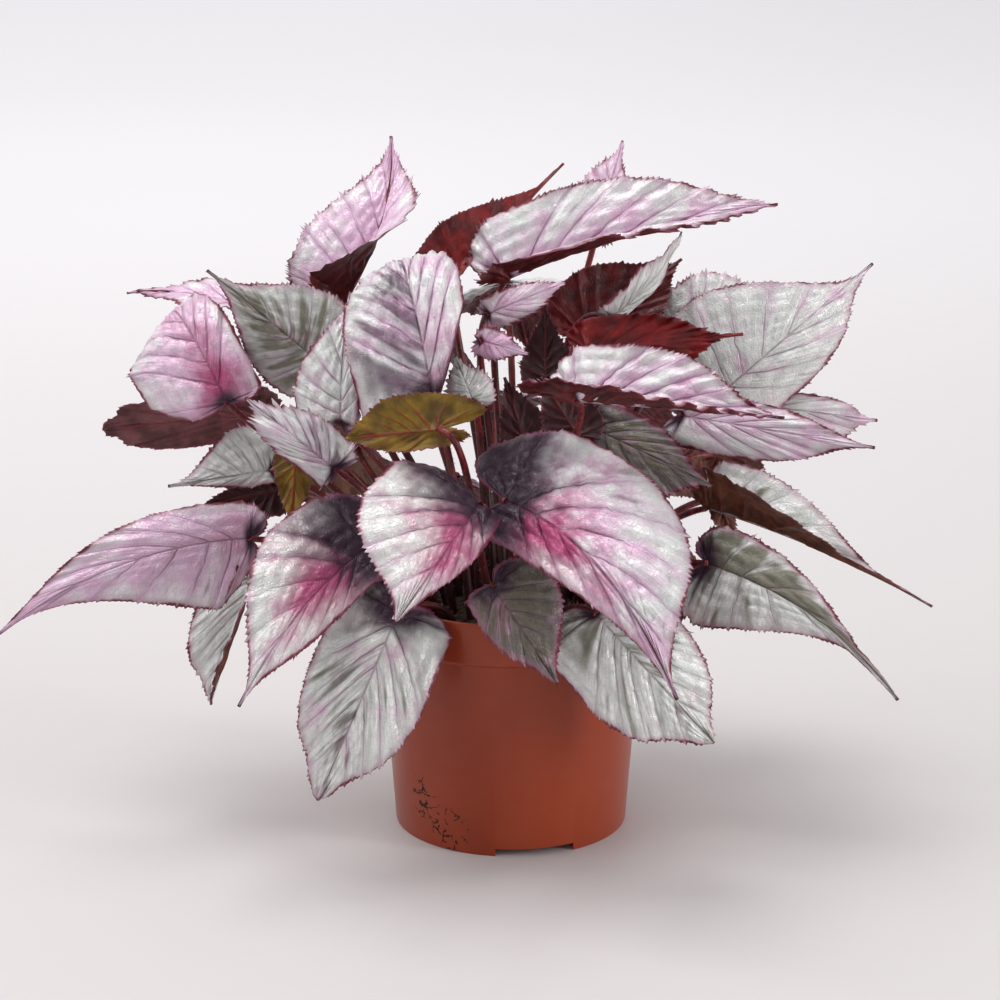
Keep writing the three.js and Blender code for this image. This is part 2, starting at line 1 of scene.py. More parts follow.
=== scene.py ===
# %% [markdown]
# # A potted rex begonia
# A rex begonia is grown for its leaves. Each one stands on its own hairy red stalk, is lopsided, has a
# frosted silver and pink face with a dark middle, and a deep red underside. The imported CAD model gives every
# leaf its place and its bend. This script grows a finer leaf over each of those solids, fills the pot with
# grainy soil, and gives every surface a finish of its own.

import math
import random

import bmesh
import bpy
from mathutils import Matrix, Quaternion, Vector, geometry, noise


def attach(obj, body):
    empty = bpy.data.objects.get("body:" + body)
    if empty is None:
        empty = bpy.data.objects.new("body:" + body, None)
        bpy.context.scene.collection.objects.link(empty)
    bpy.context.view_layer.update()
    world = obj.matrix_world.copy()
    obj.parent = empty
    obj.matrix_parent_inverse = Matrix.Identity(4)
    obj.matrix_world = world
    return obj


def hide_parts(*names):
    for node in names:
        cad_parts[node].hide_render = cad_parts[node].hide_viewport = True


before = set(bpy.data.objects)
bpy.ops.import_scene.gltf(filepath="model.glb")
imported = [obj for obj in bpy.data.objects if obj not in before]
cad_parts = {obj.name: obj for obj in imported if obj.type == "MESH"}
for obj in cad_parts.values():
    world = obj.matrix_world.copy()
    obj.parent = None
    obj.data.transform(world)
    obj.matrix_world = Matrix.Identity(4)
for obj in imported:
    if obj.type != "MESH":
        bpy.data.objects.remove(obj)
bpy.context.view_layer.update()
print("nodes in the frame:", len(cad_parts))

# %% [markdown]
# ## Camera
# The plant is seen from a little above, at 15.5 degrees, from 1.27 m away. A long lens keeps the pot's sides
# nearly parallel. The picture is 440 mm wide at the plant's middle, and that gives the focal length.

# %% Camera
MM = 0.001
SIGHT_TILT = math.radians(15.5)
SIGHT_RANGE = 1272
MIDDLE = Vector((-4.9, 0, 147.2))
SIGHT = Vector((0, math.cos(SIGHT_TILT), -math.sin(SIGHT_TILT)))
UPWARD = Vector((0, math.sin(SIGHT_TILT), math.cos(SIGHT_TILT)))
EYE = MIDDLE - SIGHT * SIGHT_RANGE
PICTURE_WIDTH = 440

camera = bpy.data.objects.new("camera", bpy.data.cameras.new("camera"))
camera.data.sensor_width = 36
camera.data.lens = camera.data.sensor_width * SIGHT_RANGE / PICTURE_WIDTH
camera.location = EYE * MM
camera.rotation_euler = (math.pi / 2 - SIGHT_TILT, 0, 0)
bpy.context.collection.objects.link(camera)
bpy.context.scene.camera = camera
print("focal length in mm:", round(camera.data.lens, 1))

# %% [markdown]
# ## Light
# The photograph has no hard shadow: a wide softbox hangs over the plant, a second one stands at the left
# and a strip light at the right, and the pale room fills the rest. A big light gives broad, quiet highlights
# on the frosted leaves and long bands on the plastic pot. The plain Standard view keeps the colours as they
# are mixed.

# %% Light
bpy.context.scene.view_settings.view_transform = "Standard"


def hang_softbox(name, place, width, height, watts, warmth):
    """A soft rectangular light at a place in metres, turned to the plant."""
    lamp = bpy.data.lights.new(name, "AREA")
    lamp.shape = "RECTANGLE"
    lamp.size, lamp.size_y = width, height
    lamp.energy = watts
    lamp.color = warmth
    box = bpy.data.objects.new(name, lamp)
    box.location = place
    toward = MIDDLE * MM - Vector(place)
    box.rotation_euler = toward.to_track_quat("-Z", "Y").to_euler()
    bpy.context.collection.objects.link(box)


hang_softbox("softbox_above", (-0.35, 0.1, 1.9), 1.0, 0.9, 18, (1, 0.99, 0.98))
hang_softbox("softbox_left", (-1.7, -0.5, 1.1), 0.7, 1.1, 6, (1, 0.99, 0.98))
hang_softbox("strip_right", (1.75, -0.7, 0.5), 0.3, 1.0, 15, (1, 0.98, 0.96))

# The room's light by direction: more from behind, from above and from the left than from the camera's side
ROOM_LEVEL = 0.53
ROOM_SLOPE = (-0.18, 0.2, 0.22)


def light_room():
    room = bpy.data.worlds.new("pale_room")
    room.use_nodes = True
    nodes, links = room.node_tree.nodes, room.node_tree.links
    direction = nodes.new("ShaderNodeTexCoord").outputs["Generated"]
    slope = nodes.new("ShaderNodeVectorMath")
    slope.operation = "DOT_PRODUCT"
    slope.inputs[1].default_value = ROOM_SLOPE
    level = nodes.new("ShaderNodeMath")
    level.inputs[1].default_value = ROOM_LEVEL
    links.new(direction, slope.inputs[0])
    links.new(slope.outputs["Value"], level.inputs[0])
    links.new(level.outputs["Value"], nodes["Background"].inputs["Strength"])
    nodes["Background"].inputs["Color"].default_value = (0.99, 0.98, 1, 1)
    bpy.context.scene.world = room


light_room()

# %% [markdown]
# ## Making finishes
# A finish is a material whose colour, gloss and relief come from small nodes. The helper below adds a node,
# fills its sockets and returns its result, so that a finish reads as a recipe. Colours are written as they
# look on a screen and turned into the linear values that the shader needs.

# %% A helper for finishes
def colour(red, green, blue):
    """A screen colour, 0 to 255, as linear values."""
    def linear(value):
        share = value / 255
        return share / 12.92 if share <= 0.04045 else ((share + 0.055) / 1.055) ** 2.4
    return (linear(red), linear(green), linear(blue), 1)


class Finish:
    """A material under construction. Each method adds one node and gives back what comes out of it."""

    def __init__(self, name, constants):
        self.material = bpy.data.materials.new(name)
        self.material.use_nodes = True
        self.tree = self.material.node_tree
        self.shader = self.tree.nodes["Principled BSDF"]
        for socket, value in constants.items():
            self.shader.inputs[socket].default_value = value
        self.place = self.add("ShaderNodeTexCoord", {}).outputs["Object"]

    def add(self, kind, inputs, **settings):
        node = self.tree.nodes.new(kind)
        for name, value in settings.items():
            setattr(node, name, value)
        for socket, value in inputs.items():
            self.give(node.inputs[socket], value)
        return node

    def give(self, socket, value):
        if isinstance(value, bpy.types.NodeSocket):
            self.tree.links.new(value, socket)
        else:
            socket.default_value = value

    def math(self, operation, first, second=0.0):
        return self.add("ShaderNodeMath", {0: first, 1: second}, operation=operation).outputs[0]

    def mix(self, share, first, second):
        return self.add("ShaderNodeMix", {0: share, 6: first, 7: second}, data_type="RGBA").outputs[2]

    def step(self, value, start, end, low=0.0, high=1.0):
        """A soft step from low to high while the value goes from start to end."""
        sockets = {"Value": value, "From Min": start, "From Max": end, "To Min": low, "To Max": high}
        return self.add("ShaderNodeMapRange", sockets, interpolation_type="SMOOTHSTEP").outputs["Result"]

    def noise(self, scale, detail=2.0, place=None):
        sockets = {"Vector": place or self.place, "Scale": scale, "Detail": detail}
        return self.add("ShaderNodeTexNoise", sockets).outputs["Fac"]

    def cells(self, scale, feature="DISTANCE_TO_EDGE"):
        sockets = {"Vector": self.place, "Scale": scale}
        return self.add("ShaderNodeTexVoronoi", sockets, feature=feature).outputs["Distance"]

    def scaled(self, factors, place=None):
        node = self.add("ShaderNodeVectorMath", {0: place or self.place, 1: factors}, operation="MULTIPLY")
        return node.outputs["Vector"]

    def parts(self, vector):
        return self.add("ShaderNodeSeparateXYZ", {0: vector}).outputs[:]

    def stored(self, name):
        """The three numbers that are stored under a name at each point of the mesh."""
        return self.parts(self.add("ShaderNodeAttribute", {}, attribute_name=name).outputs["Vector"])

    def relief(self, height, depth):
        """Small relief: the height goes from 0 to 1 and stands for a depth in millimetres."""
        node = self.add("ShaderNodeBump", {"Height": height, "Distance": depth * MM, "Strength": 1.0})
        self.give(self.shader.inputs["Normal"], node.outputs["Normal"])

    def wear(self, base, roughness):
        self.give(self.shader.inputs["Base Color"], base)
        self.give(self.shader.inputs["Roughness"], roughness)
        return self.material


# %% [markdown]
# ## Floor
# A plain pale table top that runs out of the picture on every side. It is a wide disc with a faint, slow
# change of tone, and with painted light and shade: darker near the plant and towards the right, and
# lighter far behind. Far behind the plant it also glows a little, painted light that stands in for a lit
# backdrop. It is left out of the plant's body, because it isn't part of the object.

# %% Floor
FLOOR_RADIUS = 14
BACKDROP_GLOW = 0.25


def floor_finish():
    floor = Finish("pale_floor", {"Specular IOR Level": 0.3, "Emission Color": colour(244, 242, 246)})
    cloud = floor.noise(1.5)
    across, ahead = floor.parts(floor.place)[:2]
    # Painted light and shade: a faint glow far behind, and a tone that is darker near the plant and to the
    # right.
    floor.give(floor.shader.inputs["Emission Strength"], floor.step(ahead, 0.1, 2.2, 0.0, BACKDROP_GLOW))
    tone = floor.mix(floor.step(ahead, 0.0, 1.8), colour(212, 207, 207), colour(242, 240, 242))
    tone = floor.mix(floor.step(across, -0.4, 1.0, 0.0, 0.5), tone, colour(208, 206, 206))
    tone = floor.mix(floor.math("MULTIPLY", cloud, 0.2), tone, colour(214, 211, 210))
    return floor.wear(tone, floor.step(floor.noise(40), 0.3, 0.7, 0.5, 0.6))


def new_object(name, bm, materials):
    """Turns a finished bmesh into an object at the origin."""
    mesh = bpy.data.meshes.new(name)
    bm.to_mesh(mesh)
    bm.free()
    for material in materials:
        mesh.materials.append(material)
    made = bpy.data.objects.new(name, mesh)
    bpy.context.collection.objects.link(made)
    return made


bm = bmesh.new()
bmesh.ops.create_circle(bm, cap_ends=True, segments=96, radius=FLOOR_RADIUS)
new_object("floor", bm, [floor_finish()])

# %% [markdown]
# ## Pot
# A nursery pot is moulded in one piece from thin terracotta coloured plastic: a tapered cup with a collar,
# a ring foot with three gaps and six drain holes in its floor. Half of its section is drawn as a chain of
# edges and spun round the axis. The corners are bevelled, and the gaps and holes are cut with a Boolean
# modifier, which is applied, so that they have upright walls as in the mould.

# %% Pot
POT_STEPS = 144
CORNER_ROUND = 0.5
SHARP_ANGLE = math.radians(35)
POT_SECTION = [
    (0, 0), (20, 0), (21, 3.5), (46.3, 3.5), (47.3, 0), (51.8, 0), (58.4, 89), (60, 90), (60, 108.5),
    (58.2, 108.5), (58.2, 90), (56.6, 88), (50, 5.1), (19, 5.1), (18, 1.6), (0, 1.6),
]
FOOT_GAPS, FOOT_GAP_TURN = 3, 12
FOOT_GAP_SIZE, FOOT_GAP_PLACE = (35, 13, 7), 49.5
DRAIN_HOLES, DRAIN_SIDES = 6, 24
DRAIN_RADIUS, DRAIN_CIRCLE = 3.5, 34
DRAIN_HEIGHT, DRAIN_DEPTH = 3.5, 14
MERGE_DISTANCE = 1e-6


def spin_section(bm, section, steps):
    """Spins a chain of (radius, height) points round the z axis and closes its poles."""
    chain = [bm.verts.new((radius * MM, 0, height * MM)) for radius, height in section]
    edges = [bm.edges.new(pair) for pair in zip(chain, chain[1:])]
    bmesh.ops.spin(bm, geom=chain + edges, cent=(0, 0, 0), axis=(0, 0, 1), angle=2 * math.pi,
                   steps=steps, use_merge=True)
    bmesh.ops.remove_doubles(bm, verts=bm.verts, dist=MERGE_DISTANCE)
    bmesh.ops.recalc_face_normals(bm, faces=bm.faces)


def keep_corners_sharp(bm):
    for face in bm.faces:
        face.smooth = True
    for edge in bm.edges:
        edge.smooth = edge.is_manifold and edge.calc_face_angle() < SHARP_ANGLE


def pot_cutter():
    """The blocks and pegs that leave the foot gaps and the drain holes."""
    bm = bmesh.new()
    for i in range(FOOT_GAPS):
        turn = Matrix.Rotation(math.radians(FOOT_GAP_TURN + 360 / FOOT_GAPS * i), 4, "Z")
        place = Matrix.Translation((0, -FOOT_GAP_PLACE * MM, 0))
        size = Matrix.Diagonal([length * MM for length in FOOT_GAP_SIZE] + [1])
        bmesh.ops.create_cube(bm, size=1, matrix=turn @ place @ size)
    for i in range(DRAIN_HOLES):
        turn = Matrix.Rotation(math.radians(360 / DRAIN_HOLES * (i + 0.5)), 4, "Z")
        place = Matrix.Translation((DRAIN_CIRCLE * MM, 0, DRAIN_HEIGHT * MM))
        bmesh.ops.create_cone(bm, cap_ends=True, segments=DRAIN_SIDES, radius1=DRAIN_RADIUS * MM,
                              radius2=DRAIN_RADIUS * MM, depth=DRAIN_DEPTH * MM, matrix=turn @ place)
    return new_object("pot_cutter", bm, [])


def make_pot():
    bm = bmesh.new()
    spin_section(bm, POT_SECTION, POT_STEPS)
    rings = [edge for edge in bm.edges if edge.calc_face_angle(0) > SHARP_ANGLE
             and abs(edge.verts[0].co.z - edge.verts[1].co.z) < MERGE_DISTANCE]
    bmesh.ops.bevel(bm, geom=rings, offset=CORNER_ROUND * MM, affect="EDGES", segments=3, profile=0.5,
                    material=-1, clamp_overlap=True)
    rough = new_object("pot_rough", bm, [])
    cutter = pot_cutter()
    cut = rough.modifiers.new("gaps_and_holes", "BOOLEAN")
    cut.operation, cut.solver, cut.object = "DIFFERENCE", "EXACT", cutter
    bpy.context.view_layer.update()
    bm = bmesh.new()
    bm.from_object(rough, bpy.context.evaluated_depsgraph_get())
    bmesh.ops.remove_doubles(bm, verts=bm.verts, dist=MERGE_DISTANCE)
    keep_corners_sharp(bm)
    for helper in (rough, cutter):
        bpy.data.objects.remove(helper)
    return bm


# %% [markdown]
# The plastic is even, but not perfect: it has a slow clouding, a fine orange-peel relief and a few dried
# splashes of potting mix low on the front left. A distance from a point picks the place of the splashes.
# They are thin crooked lines there, where a noise passes its middle value, broken up by a second noise.

# %% Pot finish
SPLASH_PLACES = ((-38, -36, 22), (-27, -45, 10))
SPLASH_REACH, SPLASH_CORE = 15, 2


def pot_finish():
    pot = Finish("pot_plastic", {"IOR": 1.5, "Specular IOR Level": 0.35})
    clay = pot.mix(pot.step(pot.noise(14), 0.3, 0.7), colour(144, 54, 28), colour(156, 62, 32))
    dust = pot.noise(90, 4.0)
    clay = pot.mix(pot.step(dust, 0.45, 0.75, 0.0, 0.1), clay, colour(160, 88, 62))
    splashed = 0.0
    for place in SPLASH_PLACES:
        centre = [value * MM for value in place]
        measure = pot.add("ShaderNodeVectorMath", {0: pot.place, 1: centre}, operation="DISTANCE")
        near = pot.step(measure.outputs["Value"], SPLASH_REACH * MM, SPLASH_CORE * MM)
        splashed = pot.math("MAXIMUM", splashed, near)
    contour = pot.math("ABSOLUTE", pot.math("SUBTRACT", pot.noise(170, 3.0), 0.5))
    grains = pot.math("MULTIPLY", pot.step(contour, 0.03, 0.01), pot.step(pot.noise(120), 0.48, 0.56))
    grains = pot.step(pot.math("MULTIPLY", grains, splashed), 0.2, 0.45)
    clay = pot.mix(grains, clay, colour(56, 30, 18))
    pot.relief(pot.math("ADD", pot.math("MULTIPLY", pot.noise(700), 0.2), grains), 0.12)
    return pot.wear(clay, pot.step(grains, 0, 1, 0.3, 0.9))


pot = new_object("nursery_pot", make_pot(), [pot_finish()])
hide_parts("pot")
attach(pot, "root")
print("pot faces:", len(pot.data.polygons))

# %% [markdown]
# ## Soil
# Dark potting mix: peat with crumbs, bark slivers and a few pale grains. Its top is a spun disc with close
# rings that a layered noise makes lumpy. Crumbs are icospheres of 20 faces, squashed and turned at random,
# and slivers are thin cones with four sides. The random numbers start from a fixed seed.

# %% Soil
SOIL_EDGE, SOIL_MIDDLE, SOIL_SHOULDER = 95, 99, 40
SOIL_RADIUS = 56.1
SOIL_WALL = [(SOIL_RADIUS, 88), (49.6, 5.5), (0, 5.5)]
SOIL_STEPS, SOIL_RING = 180, 1.6
SOIL_SEED = 11
CRUMBS, CRUMB_SIZE, CRUMB_WIDTH, CRUMB_FLATNESS = 520, (0.5, 1.9), (0.6, 1), (0.4, 0.8)
SLIVERS, SLIVER_LENGTH, SLIVER_RADII = 90, (4, 9), (0.5, 0.2)


def soil_height(radius):
    share = min(radius / SOIL_SHOULDER, 1)
    return SOIL_MIDDLE - (SOIL_MIDDLE - SOIL_EDGE) * share * share


def lumps(place):
    """The lumpiness of the soil in millimetres, from clods down to grains."""
    return 1.3 * noise.noise(place / 9) + 0.8 * noise.noise(place / 3.5) + 0.45 * noise.noise(place / 1.4)


def scatter(chance):
    """A random place on the soil, evenly over its area."""
    radius = (SOIL_RADIUS - 2) * math.sqrt(chance.random())
    angle = chance.uniform(0, 2 * math.pi)
    place = Vector((radius * math.cos(angle), radius * math.sin(angle), soil_height(radius)))
    place.z += lumps(place)
    return place


def make_soil():
    bm = bmesh.new()
    rings = int(SOIL_RADIUS / SOIL_RING)
    top = [(SOIL_RADIUS * i / rings, soil_height(SOIL_RADIUS * i / rings)) for i in range(rings + 1)]
    spin_section(bm, top + SOIL_WALL, SOIL_STEPS)
    for vert in bm.verts:
        place = vert.co / MM
        if place.z > SOIL_EDGE - 1 and place.xy.length < SOIL_RADIUS - 0.5:
            vert.co.z += lumps(place) * MM
    chance = random.Random(SOIL_SEED)
    for i in range(CRUMBS + SLIVERS):
        turn = Quaternion([chance.gauss(0, 1) for axis in range(4)]).normalized().to_matrix().to_4x4()
        move = Matrix.Translation(scatter(chance) * MM)
        if i < CRUMBS:
            size = chance.uniform(*CRUMB_SIZE) * MM
            width = size * chance.uniform(*CRUMB_WIDTH)
            height = size * chance.uniform(*CRUMB_FLATNESS)
            squash = Matrix.Diagonal([size, width, height, 1])
            bmesh.ops.create_icosphere(bm, subdivisions=1, radius=1, matrix=move @ turn @ squash)
        else:
            flat = Matrix.Rotation(math.pi / 2, 4, Vector((chance.uniform(-1, 1), chance.uniform(-1, 1), 0)))
            wide, narrow = SLIVER_RADII
            bmesh.ops.create_cone(bm, cap_ends=True, segments=4, radius1=wide * MM, radius2=narrow * MM,
                                  depth=chance.uniform(*SLIVER_LENGTH) * MM, matrix=move @ flat)
    for face in bm.faces:
        face.smooth = True
    return bm


def soil_finish():
    soil = Finish("potting_mix", {"Specular IOR Level": 0.25})
    peat = soil.mix(soil.step(soil.noise(260, 4.0), 0.35, 0.65), colour(34, 25, 21), colour(72, 53, 42))
    pale = soil.step(soil.noise(420), 0.68, 0.74)
    soil.relief(soil.noise(900, 4.0), 0.4)
    tone = soil.mix(pale, peat, colour(120, 98, 76))
    return soil.wear(tone, soil.step(soil.noise(300), 0.3, 0.7, 0.75, 0.95))


soil = new_object("potting_mix", make_soil(), [soil_finish()])
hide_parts("soil")
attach(soil, "root")
print("soil faces:", len(soil.data.polygons))

# %% [markdown]
# ## Leaves: the table
# A row gives one leaf as it is seen from in front, in millimetres: at and tip are the ends of its midrib,
# across, up and forward of the plant's middle. bow and sway lift its middle off the straight line, or mid
# gives the bend. turn rolls the blade round that line, so that 180 shows its underside. half, lobe, belly,
# taper and slant give the width, the lobe behind the stalk, where the widest place is, how thin the tip is
# drawn and how far the edge is pushed to the tip, each for the left and the right half. tail is the half
# width of the tip. fold and curl lift each half in degrees, at the stalk and at the tip. heading turns the
# whole leaf round the pot, for the ones at the back.

# %% The leaf table
LEAVES = [
    dict(at=(-67, 88, -28), tip=(-48, 160, -48), bow=5, sway=-6, turn=(15, -10), half=(32, 26),
         lobe=(12, 12), belly=(0.1, 0.1), taper=(1.1, 1.3), fold=((0, 0), (160, -20)), look="pink"),
    dict(at=(-103, 80, -55), tip=(-164, 91, -65), bow=6, turn=(50, 45), half=(20, 20), lobe=(8, 8),
         taper=(1.4, 1.4), fold=((60, 0), (0, 0)), look="pink"),
    dict(at=(-79, 60, 2), tip=(-129, 101, 12), bow=4, turn=(-10, 20), half=(22, 27), lobe=(8, 12),
         taper=(1.6, 1.6), look="olive"),
    dict(at=(-29, 43, 50), tip=(-44, 92, -5), mid=(-47, 134, 55), half=(33, 22), lobe=(14, 4),
         belly=(0.1, 0), taper=(1.2, 1.3), slant=(0, 1.4), look="silver"),
    dict(at=(-28, 31, 62), tip=(-68, 27, 57), turn=(180, 180), half=(16, 8), lobe=(22, 14),
         belly=(0.3, 0.3), taper=(0.6, 0.6), look="olive"),
    dict(at=(-70, 34, 28), tip=(-66, 92, 22), bow=5, turn=(-30, 10), half=(24, 8), lobe=(4, 4),
         taper=(1.6, 1.6), look="silver"),
    dict(at=(-120, 43, 15), tip=(-143, 72, -25), mid=(-150, 104, 15), half=(34, 17), lobe=(5, 4),
         belly=(0.1, 0.3), slant=(0.25, 0), look="pink"),
    dict(at=(-103, 38, -30), tip=(-175, 31, -35), turn=(150, 150), half=(15, 12), lobe=(8, 8),
         belly=(0.7, 0.7), taper=(0.35, 0.35), look="dark"),
    dict(at=(-73, 14, 42), tip=(-112, 45, 47), bow=5, half=(10, 14), lobe=(4, 6), belly=(0.6, 0.2),
         look="pink"),
    dict(at=(-101, 13, -6), tip=(-146, 6, 0), bow=5, half=(6, 22), lobe=(6, 8), taper=(1.6, 1.6),
         look="silver"),
    dict(at=(-97, 4, -35), tip=(-130, -2, -32), turn=(180, 180), half=(9, 11), lobe=(6, 6),
         taper=(0.6, 0.6), look="dark"),
    dict(at=(-90, 20, 19), tip=(-92, -12, 20), turn=(180, 180), half=(9, 9), lobe=(6, 6), look="dark"),
    dict(at=(-110, -17, 15), tip=(-222, -60, 45), bow=10, sway=-9, half=(29, 17), lobe=(9, 10),
         belly=(-0.35, 0.2), taper=(1.8, 0.9), slant=(0.6, 0), look="pink"),
    dict(at=(-108, -32, -8), tip=(-127, -90, -6), bow=8, half=(14, 20), lobe=(6, 4), belly=(0.5, 0.5),
         taper=(0.6, 0.6), fold=((90, 120), (0, 0)), look="silver"),
    dict(at=(-59, -22, 45), tip=(-115, -91, 90), bow=8, sway=-5, half=(14, 33), lobe=(8, 24),
         belly=(0.3, 0.1), taper=(1, 1.5), look="pink"),
    dict(at=(-9, -2, 69), tip=(-46, -54, 116), bow=9, half=(12, 41), lobe=(4, 11), belly=(0.2, 0.45),
         taper=(0.8, 0.8), look="pink"),
    dict(at=(3, -1, 58), tip=(78, -88, 120), bow=14, sway=11, half=(41, 18), lobe=(38, 12),
         belly=(0.35, 0.1), taper=(1.3, 1), look="pink"),
    dict(at=(-3, -38, 55), tip=(25, -81, 62), bow=5, half=(24, 14), lobe=(9, 4), belly=(0.1, 0.2),
         taper=(0.9, 0.9), look="olive"),
    dict(at=(42, -50, 52), tip=(94, -107, 42), bow=10, half=(24, 29), lobe=(8, 12), belly=(0.4, 0.4),
         taper=(0.7, 0.6), look="silver"),
    dict(at=(-45, -50, 50), tip=(-80, -132, 45), bow=10, half=(26, 26), lobe=(8, 14), belly=(0.4, 0.4),
         taper=(0.6, 0.5), look="olive"),
    dict(at=(91, -28, 20), tip=(175, -88, 30), bow=8, sway=8, half=(18, 27), lobe=(8, 10),
         belly=(-0.15, -0.3), taper=(3, 4), tail=4, look="silver"),
    dict(at=(86, -30, -2), tip=(72, -60, 0), turn=(180, 180), half=(14, 10), lobe=(6, 6), look="olive"),
    dict(at=(91, -4, -5), tip=(190, -47, 5), bow=10, sway=3, half=(24, 24), lobe=(6, 8),
         belly=(-0.1, -0.35), taper=(4, 4), tail=3, fold=((0, 0), (145, 115)), look="silver"),
    dict(at=(95, 19, -30), tip=(110, 12, -28), turn=(180, 180), half=(7, 7), lobe=(4, 4), look="olive"),
    dict(at=(80, 37, 26), tip=(165, 23, 60), bow=6, half=(11, 14), lobe=(10, 10), belly=(0.3, 0.3),
         look="pink"),
    dict(at=(110, 42, -15), tip=(166, 35, -10), bow=6, half=(8, 13), lobe=(6, 6), belly=(0.5, 0.5),
         taper=(0.9, 0.9), look="silver"),
    dict(at=(34, 43, 75), tip=(125, 36, 110), bow=12, half=(25, 14), lobe=(20, 34), belly=(0.3, 0.2),
         fold=((0, 0), (140, 95)), look="pink"),
    dict(at=(38, 33, 18), tip=(94, 6, 30), bow=6, half=(14, 26), lobe=(10, 10), belly=(0.3, 0.3),
         look="olive"),
    dict(at=(96, 46, -5), tip=(164, 104, -15), bow=8, half=(40, 22), lobe=(12, 8), belly=(0, 0.3),
         taper=(2.2, 1.2), look="silver"),
    dict(at=(83, 70, -36), tip=(118, 94, -42), bow=8, half=(24, 20), lobe=(12, 12), belly=(0.3, 0.3),
         look="pink"),
    dict(at=(4, 97, 10), tip=(122, 130, 10), bow=8, sway=4, half=(29, 14), lobe=(14, 12),
         belly=(0.2, 0.4), taper=(0.9, 0.7), fold=((0, 0), (135, 60)), look="pink"),
    dict(at=(-20, 97, -18), tip=(28, 148, -48), turn=(180, 180), half=(14, 22), lobe=(14, 28),
         belly=(0, -0.1), taper=(2, 3), tail=3.5, fold=((100, 100), (0, 0)), look="dark"),
    dict(at=(44, 122, -60), tip=(54, 158, -72), bow=4, half=(16, 10), lobe=(10, 10), taper=(1.5, 1.5),
         look="pink"),
    dict(at=(-5, 82, 35), tip=(29, 96, 35), bow=4, half=(7, 8), lobe=(4, 4), belly=(0.3, 0.3),
         look="pink"),
    dict(at=(36, 73, -30), tip=(80, 106, -36), turn=(180, 180), half=(16, 24), lobe=(10, 10),
         belly=(0.4, 0.1), taper=(1, 1.4), look="dark"),
    dict(at=(49, 81, 5), tip=(80, 118, 2), bow=4, turn=(60, 60), half=(11, 11), lobe=(5, 5),
         belly=(0.2, 0.2), look="silver"),
    dict(at=(38, 66, 10), tip=(107, 73, 14), turn=(180, 180), half=(18, 14), lobe=(8, 8),
         belly=(0.2, 0.2), taper=(2, 2), look="dark"),
    dict(at=(-8, 70, 45), tip=(13, 64, 48), bow=2, half=(7, 7), lobe=(4, 4), look="pink"),
    dict(at=(20, 52, 5), tip=(20, 86, -2), turn=(180, 180), bow=2, half=(11, 11), lobe=(8, 8),
         look="dark"),
    dict(at=(13, 18, 17), tip=(2, 54, 14), turn=(180, 180), bow=2, half=(15, 11), lobe=(8, 8),
         look="dark"),
    dict(at=(34, 28, 30), tip=(18, 54, 36), turn=(180, 180), bow=2, half=(14, 12), lobe=(6, 6),
         look="dark"),
    dict(heading=180, at=(-34, 8, 66), tip=(-86, -38, 110), bow=10, half=(28, 32), lobe=(12, 12),
         look="pink"),
    dict(heading=180, at=(8, 69, 82), tip=(-4, 10, 122), bow=12, half=(32, 30), lobe=(12, 14),
         look="silver"),
    dict(heading=180, at=(42, 60, 62), tip=(88, 15, 105), bow=12, half=(30, 30), lobe=(14, 14),
         look="pink"),
    dict(heading=180, at=(76, 5, 41), tip=(134, -48, 58), bow=10, half=(24, 24), lobe=(12, 12),
         look="silver"),
    dict(heading=180, at=(31, -18, 50), tip=(56, -84, 88), bow=12, half=(26, 28), lobe=(14, 16),
         look="pink"),
    dict(heading=180, at=(-30, -30, 68), tip=(-52, -95, 104), bow=12, half=(30, 28), lobe=(16, 14),
         look="pink"),
    dict(heading=180, at=(-72, -5, 58), tip=(-135, -62, 78), bow=10, half=(24, 26), lobe=(12, 12),
         look="silver"),
    dict(heading=180, at=(14, 18, 66), tip=(12, -42, 104), bow=10, half=(26, 24), lobe=(12, 12),
         look="silver"),
    dict(heading=180, at=(5, -48, 52), tip=(0, -112, 55), bow=10, half=(24, 24), lobe=(12, 12),
         belly=(0.3, 0.3), taper=(0.7, 0.7), look="olive"),
    dict(at=(-12, 44, 38), tip=(-20, 63, 33), bow=3, half=(10, 11), lobe=(6, 6), look="silver"),
    dict(at=(97, -2, -32), tip=(104, -20, -34), turn=(180, 180), half=(6, 5), lobe=(3, 3), look="olive"),
]
print("leaves in the table:", len(LEAVES))

# %% [markdown]
# ## Leaves: the form
# A blade is worked out flat first. Its edge is one smooth outline, and every place on it is joined to a foot
# on the midrib by a vein. Then the flat blade is laid along the bent midrib, each half is folded and curled,
# and the edge ripples. The CAD solids were made by the same sums, with blunter tips, so the finer leaves lie
# where the solids are.

# %% The form of a leaf
OUTLINE = [
    (0, 0), (-0.72, 0.16), (-1, 0.46), (-0.62, 0.8), (0.08, 1), (0.27, 0.97),
    (0.46, 0.79), (0.63, 0.54), (0.78, 0.29), (0.9, 0.11), (1, 0),
]
FAN_SHARE, DRAWN_SHARE = 0.36, 0.45
TAIL, TAIL_FROM, TAIL_ROUNDING = 2.4, 0.5, 0.5
RIPPLE, WAVES, DROOP = 1.2, 3.2, -20
VEIN_BOW = 1.2


def seen(place, heading=0):
    """A place that is given as it is seen from in front, as a point in millimetres."""
    point = MIDDLE + UPWARD * place[1]
    point.x += place[0]
    point = EYE + (point - EYE) * (1 - place[2] / SIGHT_RANGE)
    return Matrix.Rotation(math.radians(heading), 3, "Z") @ point


def smooth(points, share):
    """A smooth curve through points, read at a share of the way along it."""
    last = len(points) - 1
    place = min(max(share, 0), 1) * last
    index = min(int(place), last - 1)
    w = place - index
    a, b, c, d = (Vector(points[min(max(index + step, 0), last)]) for step in (-1, 0, 1, 2))
    return (2 * b + (c - a) * w + (2 * a - 5 * b + 4 * c - d) * w ** 2 + (3 * b - a - 3 * c + d) * w ** 3) / 2


def between(pair, share):
    return pair[0] + (pair[1] - pair[0]) * min(max(share, 0), 1)


